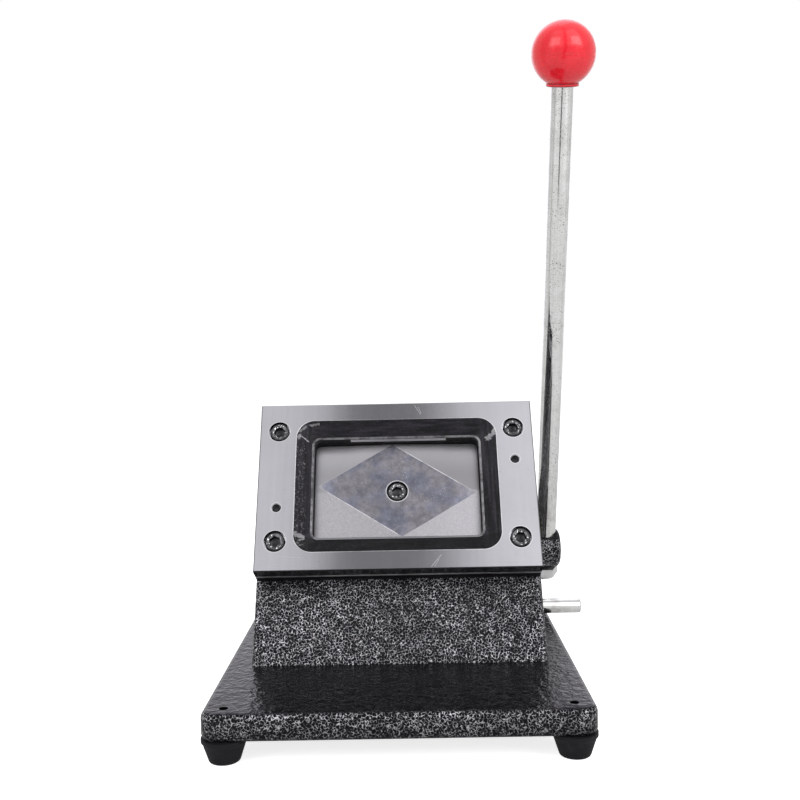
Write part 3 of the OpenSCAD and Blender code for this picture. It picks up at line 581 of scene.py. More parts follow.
@dataclass(frozen=True)
class GroundDieSteel:
    """Ground die plate, with a blackened slope and worn lip round its window.

    Each scratch runs between two points of the face, in millimetres, and has half its width.
    Each scuff has its strength as well. The slot light is painted light: a bright strip on the window's
    upper wall, where light through the card slot would fall.
    """

    name: str
    face: DieFace
    steel: Shade = (0.415, 0.41, 0.44)
    # bright is the colour of the scratches, and also of the painted highlights and painted light
    bright: Shade = (0.72, 0.715, 0.74)
    # black is the slope's oxide, and also the painted shade on the plate's upper and lower sides
    black: Shade = (0.012, 0.011, 0.014)
    rubbed: Shade = (0.34, 0.335, 0.35)
    speck: Shade = (0.12, 0.115, 0.12)
    chamfer_shade: Shade = (0.2, 0.197, 0.21)
    slope_outline: Point = (52.0 * MM, 36.0 * MM, 9.5 * MM)
    lip_outline: Point = (44.2 * MM, 28.2 * MM, 4.4 * MM)
    lip_end: float = 4.95 * MM
    slot_light_half: Pair = (24.8 * MM, 25.2 * MM)
    slot_light_bottom: float = 26.0 * MM
    slot_light_front: Pair = (5.3 * MM, 5.6 * MM)
    slot_light_rear: Pair = (7.9 * MM, 8.3 * MM)
    scratches: tuple[tuple[Pair, Pair, float], ...] = (
        ((9.6, 44.6), (13.2, 38.2), 0.13),
        ((11.6, 43.2), (13.4, 39.0), 0.09),
        ((16.2, -44.8), (21.8, -38.2), 0.15),
        ((17.9, -44.6), (20.4, -40.6), 0.09),
        ((-60.0, -38.0), (-47.0, -38.6), 0.05),
        ((38.0, -42.0), (61.0, -42.3), 0.05),
    )
    scuffs: tuple[tuple[Pair, Pair, float, float], ...] = (
        ((48.2, 25.4), (52.4, 28.6), 1.35, 1.0),
        ((47.0, 24.4), (48.6, 25.0), 0.45, 0.8),
        ((-51.6, -26.0), (-47.6, -27.2), 1.25, 0.75),
        ((-48.8, -29.0), (-46.6, -28.2), 0.4, 0.6),
        ((-50.4, 28.4), (-46.0, 25.6), 0.3, 0.9),
        ((-51.0, 26.6), (-50.0, 28.4), 0.7, 0.7),
        ((-45.2, 33.8), (-40.6, 34.4), 0.5, 0.6),
        ((-50.2, 30.4), (-47.4, 33.0), 0.5, 0.5),
    )

    def make(self) -> Material:
        """Builds the material.

        Returns:
            The material.
        """
        r = FaceRecipe(self.name, self.face)

        # fine grinding lines run across the plate, and faint streaks run up it
        lines = r.streaks((9 * MM, 0.16 * MM, 9 * MM), r.solid, rough=0.7)
        streaks = r.streaks((4 * MM, 150 * MM, 60 * MM), r.solid, detail=4.0, rough=0.6, seed=2.0)
        clouds = r.noise(24 * MM, r.solid, seed=4.0)
        tone = streaks.span(0.3, 0.7, 0.97, 1.02) + lines.span(0.2, 0.8, -0.03, 0.03)
        tone = tone * clouds.span(0.3, 0.7, 0.97, 1.03)
        scored = self.scored(r)
        steel = r.blend(scored, r.scaled(self.steel, tone), self.bright)
        specks = r.noise(0.7 * MM, r.solid, detail=1.0, seed=8.0).span(0.73, 0.77)
        steel = self.edges(r, r.blend(specks * 0.35, steel, self.speck))

        outer = r.past_card(self.slope_outline)
        inside = outer.fade(-0.16 * MM, -0.04 * MM)
        # painted highlight: a thin bright line along the slope's outer edge, patchy along it, joined with
        # bright rims round the screw and dowel holes
        rim = outer.band((-0.14 * MM, -0.02 * MM), (0.12 * MM, 0.34 * MM))
        patchy = r.noise(9 * MM, r.solid, seed=13.0).span(0.35, 0.6, 0.25, 0.9)
        steel = r.blend((rim * patchy).most(self.painted_hole_highlights(r)), steel, self.bright)
        black, worn = self.slope(r)
        colour = r.blend(inside, steel, black)
        rough = r.between(inside, lines.span(0.2, 0.8, 0.13, 0.17), r.between(worn, 0.5, 0.36))
        metal = r.between(inside, 1.0, r.between(worn, 0.12, 0.95))
        r.surface(colour, rough, metal, tangent=r.upward, anisotropic=1.0, specular_ior_level=0.3)
        pits = r.noise(0.9 * MM, r.solid, detail=4.0, seed=6.0) * inside
        r.bump(lines * 0.12 + scored * -0.5 + pits * 2.2, 0.012 * MM)
        return r.material

    def painted_hole_highlights(self, r: FaceRecipe) -> Signal:
        """Share of the painted highlights: thin bright rims round the screw and dowel holes.

        Args:
            r: The recipe being written.

        Returns:
            The share.
        """
        corner = r.gather(abs(r.side), abs(r.up), 0.0)
        screw = abs(r.away((*self.face.screws, 0.0), corner) - self.face.counterbore)
        x, y = self.face.dowels
        near = r.away((x, y, 0.0), r.flat).least(r.away((-x, -y, 0.0), r.flat))
        return screw.least(abs(near - self.face.dowel_radius)).span(0.15 * MM, 0.5 * MM, 0.5, 0.0)

    def edges(self, r: FaceRecipe, steel: Signal) -> Signal:
        """Paints shade on the chamfers, and paints the plate's upper and lower sides black as shade.

        Args:
            r: The recipe being written.
            steel: Colour of the ground face.

        Returns:
            The colour.
        """
        chamfer = self.face.plate_chamfer
        wide = abs(r.side) - (self.face.plate_half[0] - chamfer)
        high = abs(r.up) - (self.face.plate_half[1] - chamfer)
        # painted shade: the chamfers are darker, and the upper and lower sides go black
        steel = r.blend(wide.most(high).span(0.0, 0.06 * MM), steel, self.chamfer_shade)
        return r.blend(high.span(chamfer - 0.06 * MM, chamfer - 0.01 * MM), steel, self.black)

    def scored(self, r: FaceRecipe) -> Signal:
        """Share of bright metal in the long fine scratches.

        Args:
            r: The recipe being written.

        Returns:
            The share.
        """
        marks = []
        for start, end, half in self.scratches:
            run, off, reach = r.stroke(start, end)
            line = abs(off).fade(half * 0.4 * MM, half * 1.3 * MM)
            marks.append(line * run.span(reach * 0.84, reach, 0.75, 0.0))
        return reduce(Signal.most, marks)

    def slope(self, r: FaceRecipe) -> tuple[Signal, Signal]:
        """Dresses the blackened slope, lip and wall.

        Args:
            r: The recipe being written.

        Returns:
            The colour, and the share of bare metal.
        """
        in_wall = r.depth.span(self.lip_end - 0.06 * MM, self.lip_end)
        on_lip = (r.past_card(self.lip_outline).fade(-0.2 * MM, 0.0) - in_wall).most(0.0)
        patchy = r.noise(5 * MM, r.solid, detail=4.0, rough=0.7, seed=1.0).span(0.36, 0.62, 0.15, 0.7)
        low = r.up.fade(-28.0 * MM, -26.6 * MM)
        mottle = r.noise(1.1 * MM, r.solid, rough=0.75, seed=7.0).span(0.52, 0.72)
        left = r.side.span(-48.5 * MM, -45.5 * MM, 0.6, 0.06)
        painted_slot_light = self.painted_slot_light(r)
        worn = on_lip * r.between(low, patchy, 0.95)
        worn = worn.most(mottle * r.between(in_wall, left, 0.0)).most(self.knocks(r)).most(painted_slot_light)

        # the black is streaked along each side of the slope and darker towards its bottom; deep in the wall
        # it is darker still, as painted shade
        across = r.streaks((14 * MM, 1.6 * MM, 8 * MM), r.solid, seed=14.0)
        upward = r.streaks((1.3 * MM, 24 * MM, 8 * MM), r.solid, seed=15.0)
        beside = abs(r.side).span(43.5 * MM, 45.0 * MM)
        haze = r.between(beside, across, upward).span(0.35, 0.68, 0.5, 2.1)
        haze = haze * r.up.span(-28.2 * MM, -26.5 * MM, 0.3, 1.0) * r.between(in_wall, 1.0, 0.2)
        colour = r.blend(worn, r.scaled(self.black, haze), self.rubbed)
        # painted light: a bright strip across the middle of the window's upper wall
        return r.blend(painted_slot_light, colour, self.bright), worn

    def knocks(self, r: FaceRecipe) -> Signal:
        """Share of bare metal where the corners of the slope are knocked bright.

        Args:
            r: The recipe being written.

        Returns:
            The share.
        """
        jitter = r.noise(1.3 * MM, r.flat, detail=4.0, rough=0.7, seed=11.0).span(0.3, 0.7, -0.7, 0.7)
        chips = r.noise(0.7 * MM, r.flat, rough=0.7, seed=12.0).span(0.3, 0.5, 0.55, 1.0)
        marks = []
        for start, end, half, strength in self.scuffs:
            run, off, reach = r.stroke(start, end)
            out = r.away(ORIGIN, r.gather((run - reach).most(0.0), off, 0.0)) + jitter * (half * MM)
            marks.append(out.span(half * 0.8 * MM, half * 1.1 * MM, strength, 0.0))
        return reduce(Signal.most, marks) * chips

    def painted_slot_light(self, r: FaceRecipe) -> Signal:
        """Share of painted light in a strip across the middle of the window's upper wall.

        Args:
            r: The recipe being written.

        Returns:
            The share.
        """
        middle = abs(r.side - 1.0 * MM).fade(*self.slot_light_half)
        high = r.maths("GREATER_THAN", r.up, self.slot_light_bottom)
        return middle * high * r.depth.band(self.slot_light_front, self.slot_light_rear) * 0.95


@dataclass(frozen=True)
class GroundPlateSteel:
    """Plain ground plate, with painted black shade on its lower side and round its window."""

    name: str
    face: DieFace
    steel: Shade = (0.3, 0.295, 0.31)
    edge: Shade = (0.005, 0.005, 0.006)

    def make(self) -> Material:
        """Builds the material.

        Returns:
            The material.
        """
        r = FaceRecipe(self.name, self.face)
        lines = r.streaks((8 * MM, 0.3 * MM, 0.3 * MM), r.solid, rough=0.7)
        blotch = r.noise(6 * MM, r.solid, detail=4.0, seed=2.0).span(0.35, 0.7, 0.7, 1.1)
        # painted shade: the lower side and the window go black
        low = r.maths("GREATER_THAN", self.face.plate_chamfer - self.face.plate_half[1], r.up)
        dark = low.most(r.past_card(self.face.card).fade(0.1 * MM, 0.4 * MM))
        colour = r.blend(dark, r.scaled(self.steel, blotch), self.edge)
        rough = r.between(dark, lines.span(0.2, 0.8, 0.24, 0.4), 0.6)
        r.surface(colour, rough, 1.0 - dark, anisotropic=0.5, specular_ior_level=0.15)
        r.bump(lines, 0.01 * MM)
        return r.material


@dataclass(frozen=True)
class PunchFace:
    """Punch steel: a stained diamond in the middle and brighter ground corners.

    The tips of the diamond are given in millimetres from the middle of the face.
    """

    name: str
    face: DieFace
    corner: Shade = (0.48, 0.47, 0.5)
    stained: Shade = (0.2321, 0.223, 0.2503)
    bluish: Shade = (0.182, 0.1865, 0.2366)
    spot: Shade = (0.5, 0.49, 0.53)
    rubbed: Shade = (0.74, 0.735, 0.76)
    tips: tuple[Pair, ...] = ((-2.3, 26.7), (41.0, -1.5), (2.3, -24.9), (-41.0, 3.3))

    def make(self) -> Material:
        """Builds the material.

        Returns:
            The material.
        """
        r = FaceRecipe(self.name, self.face)
        edges = zip(self.tips, self.tips[1:] + self.tips[:1])
        reach = reduce(Signal.least, [r.stroke(start, end)[1] for start, end in edges])
        diamond = reach.span(-0.1 * MM, 0.1 * MM)

        # the diamond is stained in clouds, paler towards its ends, with bright specks
        clouds = r.noise(7.5 * MM, r.flat, detail=5.0, rough=0.62, seed=2.0)
        blots = r.noise(3.0 * MM, r.shaken(r.flat, 5 * MM, 2 * MM), detail=4.0, rough=0.75, seed=5.0)
        stain = clouds.span(0.32, 0.7, 0.86, 1.16) * blots.span(0.32, 0.68, 0.86, 1.18)
        stain = stain * abs(r.side).span(24 * MM, 42 * MM, 1.0, 1.5)
        tint = r.noise(11 * MM, r.flat, seed=7.5).span(0.42, 0.6)
        spots = r.noise(0.9 * MM, r.flat, detail=2.0, seed=6.0).span(0.6, 0.7)
        spotty = r.noise(9 * MM, r.flat, seed=6.5).span(0.45, 0.6, 0.1, 0.7)
        middle = r.scaled(r.blend(tint, self.stained, self.bluish), stain)
        middle = r.blend(spots * spotty, middle, self.spot)

        # the corners are ground, the lower two more coarsely than the upper two; painted shade makes the
        # upper two darker, most near the middle and towards the right, and the lower two a little darker on
        # the left
        lines = r.streaks((7 * MM, 0.2 * MM, 7 * MM), r.flat, rough=0.7)
        mottle = r.noise(0.7 * MM, r.flat, rough=0.8, seed=1.0)
        lower = r.up.fade(-1.0 * MM, 1.0 * MM)
        grit = mottle.span(0.3, 0.7, -1.0, 1.0) * r.between(lower, 0.03, 0.14)
        # painted shade on the ground corners, darker on the upper two
        upper_painted_shade = r.side.span(-20 * MM, 20 * MM, 0.94, 0.78) * r.up.span(8 * MM, 26 * MM, 0.76, 1.08)
        lower_painted_shade = r.side.span(-20 * MM, 20 * MM, 0.86, 0.9)
        ground = (lines.span(0.2, 0.8, 0.97, 1.03) + grit) * r.between(lower, upper_painted_shade, lower_painted_shade)
        colour = r.blend(diamond, r.scaled(self.corner, ground), middle)

        # the diamond's edge is rubbed, the counterbore's rim gets a painted highlight, and painted shade
        # darkens the border
        patchy = r.noise(6 * MM, r.flat, seed=9.0).span(0.35, 0.6, 0.25, 0.95)
        patchy = patchy * (r.side * (1 / MM) * (r.up * (1 / MM))).span(-6.0, 6.0, 0.25, 1.0)
        rim = abs(reach).fade(0.1 * MM, 0.3 * MM) * patchy
        bore = abs(r.away(ORIGIN, r.flat) - (self.face.counterbore + 0.25 * MM))
        colour = r.blend(rim.most(bore.span(0.12 * MM, 0.3 * MM, 0.85, 0.0)), colour, self.rubbed)
        colour = r.scaled(colour, r.past_card(self.face.card).span(-0.6 * MM, -0.15 * MM, 1.0, 0.1))
        rough = r.between(diamond, mottle.span(0.3, 0.7, 0.3, 0.4), blots.span(0.3, 0.7, 0.3, 0.42))
        r.surface(colour, rough, 1.0, tangent=r.upward, anisotropic=0.35)
        r.bump(lines * 0.3 + mottle * 0.7, 0.02 * MM)
        return r.material


@dataclass(frozen=True)
class BlackOxide:
    """Blackened fastener steel, rubbed grey on what stands proud."""

    name: str
    black: Shade = (0.02, 0.02, 0.023)
    rubbed: Shade = (0.16, 0.16, 0.17)
    rubbed_share: float = 0.35

    def make(self) -> Material:
        """Builds the material.

        Returns:
            The material.
        """
        r = Recipe(self.name)
        fine = r.noise(0.45 * MM, detail=2.0, seed=3.0)
        clouds = r.noise(2.2 * MM, detail=4.0, rough=0.65)
        worn = (clouds + fine * 0.35).span(0.62, 0.86, 0.0, self.rubbed_share)
        colour = r.blend(worn, self.black, self.rubbed)
        r.surface(colour, r.between(worn, 0.42, 0.3), r.between(worn, 0.6, 0.95))
        r.bump(fine, 0.01 * MM)
        return r.material


@dataclass(frozen=True)
class ScrewRimWithGlints:
    """The grey rim round a screw's socket, with painted glints where its edges would catch light."""

    name: str
    grey: Shade = (0.11, 0.108, 0.115)
    painted_glint: Shade = (0.8, 0.8, 0.82)
    pit: Shade = (0.02, 0.02, 0.022)

    def make(self) -> Material:
        """Builds the material.

        Returns:
            The material.
        """
        r = Recipe(self.name)
        tone = r.noise(1.6 * MM, seed=1.0).span(0.3, 0.7, 0.6, 1.5)
        # painted highlight: small bright glints scattered round the rim
        knocks = r.noise(1.0 * MM, detail=1.0, rough=0.4, seed=2.0).span(0.585, 0.66)
        pits = r.noise(0.8 * MM, detail=1.5, seed=5.0).span(0.6, 0.68)
        colour = r.blend(pits, r.scaled(self.grey, tone), self.pit)
        r.surface(r.blend(knocks, colour, self.painted_glint), r.between(knocks, 0.38, 0.22), 0.95)
        r.bump(knocks - pits, 0.03 * MM)
        return r.material


@dataclass(frozen=True)
class TurnedSteel:
    """Machined or ground steel with fine tool marks along one direction."""

    name: str
    steel: Shade = (0.45, 0.45, 0.46)
    roughs: Pair = (0.25, 0.42)
    marks: Point = (0.25 * MM, 4.0 * MM, 4.0 * MM)
    stain: float = 0.25

    def make(self) -> Material:
        """Builds the material.

        Returns:
            The material.
        """
        r = Recipe(self.name)
        lines = r.streaks(self.marks, rough=0.65)
        clouds = r.noise(9 * MM, detail=4.0, seed=2.0)
        tone = lines.span(0.2, 0.8, 0.9, 1.06) + clouds.span(0.3, 0.7, -self.stain, 0.04)
        r.surface(r.scaled(self.steel, tone), lines.span(0.25, 0.75, *self.roughs), 1.0)
        r.bump(lines, 0.008 * MM)
        return r.material


@dataclass(frozen=True)
class PittedPlating:
    """Bright plating on the lever, with small pits, stains and faint draw lines."""

    name: str
    line: LeverLine
    plate: Shade = (0.84, 0.84, 0.835)
    cloud: Shade = (0.6, 0.595, 0.585)
    speck: Shade = (0.62, 0.615, 0.6)
    rust: Shade = (0.5, 0.47, 0.43)
    rust_reach: Pair = (12.0 * MM, 50.0 * MM)
    pit: Shade = (0.16, 0.155, 0.145)
    pit_share: float = 1.0

    def make(self) -> Material:
        """Builds the material.

        Returns:
            The material.
        """
        r = Recipe(self.name)
        draw = r.streaks((0.7 * MM, 60 * MM, 60 * MM), rough=0.6)
        clouds = r.noise(10 * MM, detail=5.0, rough=0.65, seed=1.0)
        dull = clouds.span(0.44, 0.68)
        pits = r.noise(0.7 * MM, detail=2.0, rough=0.5, seed=4.0).span(0.61, 0.67)
        pits = pits * r.noise(17 * MM, seed=6.0).span(0.38, 0.56, 0.15, 1.0) * self.pit_share
        rust = r.along(self.line.along, self.line.hinge).span(*self.rust_reach, 0.5, 0.0)
        specks = r.noise(1.3 * MM, detail=4.0, rough=0.75, seed=9.0).span(0.42, 0.62)
        specks = specks * self.pit_share * clouds.span(0.4, 0.6, 0.1, 0.55)
        colour = r.blend(dull * 0.45, self.plate, self.cloud)
        colour = r.blend(specks, colour, self.speck)
        colour = r.blend(rust * dull, colour, self.rust)
        colour = r.blend(pits, r.scaled(colour, draw.span(0.3, 0.7, 0.93, 1.03)), self.pit)
        rough = draw.span(0.3, 0.7, 0.06, 0.1) + dull * 0.08
        r.surface(colour, rough, r.between(pits, 1.0, 0.4))
        r.bump(r.noise(5 * MM, detail=1.0, seed=8.0) * 1.2 - pits * 0.7, 0.035 * MM)
        return r.material


@dataclass(frozen=True)
class GlossPlastic:
    """Glossy moulded plastic with a faint flow and fine handling marks."""

    name: str
    colour: Shade = (0.72, 0.014, 0.028)
    deep: Shade = (0.62, 0.008, 0.018)

    def make(self) -> Material:
        """Builds the material.

        Returns:
            The material.
        """
        r = Recipe(self.name)
        flow = r.noise(14 * MM)
        haze = r.noise(1.6 * MM, detail=4.0, rough=0.7, seed=2.0)
        colour = r.blend(flow.span(0.3, 0.7), self.deep, self.colour)
        gloss = {"specular_ior_level": 0.15, "coat_weight": 0.9, "coat_roughness": 0.13}
        r.surface(colour, haze.span(0.3, 0.75, 0.24, 0.34), **gloss)
        r.bump(haze + flow * 2.0, 0.008 * MM)
        return r.material


@dataclass(frozen=True)
class MouldedRubber:
    """Matt black rubber with a grainy skin and a little dust."""

    name: str
    black: Shade = (0.009, 0.009, 0.0105)
    dusty: Shade = (0.04, 0.04, 0.042)

    def make(self) -> Material:
        """Builds the material.

        Returns:
            The material.
        """
        r = Recipe(self.name)
        skin = r.noise(0.5 * MM, rough=0.7)
        dust = r.noise(4 * MM, detail=4.0, seed=1.0).span(0.5, 0.75, 0.0, 0.2)
        colour = r.blend(dust, self.black, self.dusty)
        r.surface(colour, skin.span(0.2, 0.8, 0.5, 0.68), specular_ior_level=0.13)
        r.bump(skin, 0.04 * MM)
        return r.material


@dataclass(frozen=True)
class SinteredBronze:
    """Oiled sintered bronze with open pores."""

    name: str
    bronze: Shade = (0.09, 0.065, 0.04)
    pore: Shade = (0.03, 0.02, 0.012)

    def make(self) -> Material:
        """Builds the material.

        Returns:
            The material.
        """
        r = Recipe(self.name)
        pores = r.noise(0.35 * MM, detail=2.0).span(0.6, 0.7)
        oil = r.noise(6 * MM, seed=1.0).span(0.35, 0.7, 1.0, 0.72)
        colour = r.blend(pores, r.scaled(self.bronze, oil), self.pore)
        r.surface(colour, r.between(pores, 0.32, 0.6), 1.0)
        r.bump(1.0 - pores, 0.02 * MM)
        return r.material


class RingMesh:
    """A closed round mesh, grown ring by ring along Z between two poles."""

    def __init__(self, sides: int) -> None:
        """Starts an empty mesh.

        Args:
            sides: Points in each ring.
        """
        self.sides = sides
        self.points: list[Point] = []
        self.faces: list[tuple[int, ...]] = []
        self.finishes: list[int] = []
        self.finish = 0
        self.last: int | None = None

    def face(self, *corners: int) -> None:
        """Adds a face in the present finish."""
        self.faces.append(corners)
        self.finishes.append(self.finish)

    def pole(self, z: float) -> None:
        """Adds the first or last point on the axis, and closes the mesh to it.

        Args:
            z: Height of the point.
        """
        self.points.append((0.0, 0.0, z))
        if self.last is not None:
            for k in range(self.sides):
                self.face(self.last + k, self.last + (k + 1) % self.sides, len(self.points) - 1)

    def ring(self, z: float, radius: float | Callable[[float], float]) -> None:
        """Adds a ring and joins it to the last.

        Args:
            z: Height of the ring.
            radius: Its radius, or a function of the angle that gives it.
        """
        start = len(self.points)
        for k in range(self.sides):
            angle = 2 * math.pi * k / self.sides
            r = radius(angle) if callable(radius) else radius
            self.points.append((r * math.cos(angle), r * math.sin(angle), z))
        for k in range(self.sides):
            after = (k + 1) % self.sides
            if self.last is None:
                self.face(start + after, start + k, start - 1)
            else:
                self.face(self.last + k, self.last + after, start + after, start + k)
        self.last = start

    def rings(self, *profile: tuple[float, float | Callable[[float], float]]) -> None:
        """Adds rings one after another, each from its height and its radius."""
        for z, radius in profile:
            self.ring(z, radius)


def put(name: str, data: bpy.types.ID) -> Object:
    """Makes an object of a mesh, lamp or camera and puts it in the scene.

    Args:
        name: Name of the object.
        data: The mesh, lamp or camera.

    Returns:
        The object.
    """
    made = bpy.data.objects.new(name, data)
    bpy.context.scene.collection.objects.link(made)
    return made


def put_mesh(
    name: str,
    points: list[Point],
    faces: list[tuple[int, ...]],
    finishes: list[int] | None = None,
    sharp: float = 32.0,
) -> Object:
    """Makes a smooth piece of points and faces.

    Args:
        name: Name of the piece.
        points: Its points.
        faces: Its faces, as numbers of points.
        finishes: Number of each face's finish, where it has more than one.
        sharp: Least angle of an edge that stays sharp, in degrees.

    Returns:
        The piece.
    """
    data = bpy.data.meshes.new(name)
    data.from_pydata(points, [], faces)
    if finishes:
        data.polygons.foreach_set("material_index", finishes)
    data.shade_smooth()
    data.set_sharp_from_angle(angle=math.radians(sharp))
    data.validate()
    return put(name, data)


def join_meshes(name: str, parts: Iterable[tuple[RingMesh, Matrix]]) -> Object:
    """Makes one piece of several closed meshes.

    Args:
        name: Name of the piece.
        parts: Each mesh with the frame that it stands in.

    Returns:
        The piece.
    """
    points: list[Point] = []
    faces: list[tuple[int, ...]] = []
    finishes: list[int] = []
    for mesh, matrix in parts:
        start = len(points)
        points.extend(tuple(matrix @ Vector(p)) for p in mesh.points)
        faces.extend(tuple(start + k for k in f) for f in mesh.faces)
        finishes.extend(mesh.finishes)
    return put_mesh(name, points, faces, finishes)


def dress(piece: Object, material: Material, *others: Material) -> None:
    """Gives a piece its material, or one for each of its finishes.

    Args:
        piece: The piece.
        material: Its material.
        *others: Materials of its further finishes.
    """
    slots = piece.data.materials
    if len(slots):
        for index in range(len(slots)):
            slots[index] = material
    else:
        for each in (material, *others):
            slots.append(each)


def smooth_group(sharp: float) -> bpy.types.NodeTree:
    """Node group that shades a mesh smooth and keeps its hard edges, made on first use.

    Args:
        sharp: Least angle of an edge that stays sharp, in degrees.

    Returns:
        The node group.
    """
    name = f"smooth_to_{sharp:g}"
    if name in bpy.data.node_groups:
        return bpy.data.node_groups[name]
    group = bpy.data.node_groups.new(name, "GeometryNodeTree")
    for way in ("INPUT", "OUTPUT"):
        group.interface.new_socket("Geometry", in_out=way, socket_type="NodeSocketGeometry")
    kinds = ("NodeGroupInput", "GeometryNodeSetShadeSmooth", "GeometryNodeSetShadeSmooth", "NodeGroupOutput")
    entry, faces, edges, leave = (group.nodes.new(kind) for kind in kinds)
    edges.domain = "EDGE"
    edges.inputs["Shade Smooth"].default_value = False
    angle = group.nodes.new("GeometryNodeInputMeshEdgeAngle")
    hard = group.nodes.new("FunctionNodeCompare")
    hard.inputs[1].default_value = math.radians(sharp)
    group.links.new(angle.outputs["Unsigned Angle"], hard.inputs[0])
    group.links.new(hard.outputs[0], edges.inputs["Selection"])
    group.links.new(entry.outputs[0], faces.inputs["Geometry"])
    group.links.new(faces.outputs[0], edges.inputs["Geometry"])
    group.links.new(edges.outputs[0], leave.inputs[0])
    return group


def soften(node: Object, sharp: float = 33.0) -> None:
    """Welds a CAD mesh's split points and shades it smooth.

    Args:
        node: The CAD node's object.
        sharp: Least angle of an edge that stays sharp, in degrees.
    """
    split = node.data.attributes.get("custom_normal")
    if split is not None:
        node.data.attributes.remove(split)
    node.modifiers.new("weld", "WELD").merge_threshold = 0.001 * MM
    node.modifiers.new("smooth", "NODES").node_group = smooth_group(sharp)
    weighted = node.modifiers.new("weighted", "WEIGHTED_NORMAL")
    weighted.keep_sharp = True
    weighted.weight = 80


@dataclass
class Lamp:
    """One soft lamp of the studio."""

    name: str
    place: Point
    size: Pair
    watts: float
    target: Point = (0.0, 0.0, 0.13)

    def build(self) -> None:
        """Hangs the lamp and turns it to its target."""
        data = bpy.data.lights.new(self.name, "AREA")
        data.shape = "RECTANGLE"
        data.size, data.size_y = self.size
        data.energy = self.watts
        lamp = put(self.name, data)
        lamp.location = self.place
        aim = Vector(self.target) - Vector(self.place)
        lamp.rotation_euler = aim.to_track_quat("-Z", "Y").to_euler()
        lamp.visible_camera = False
        lamp.visible_glossy = False


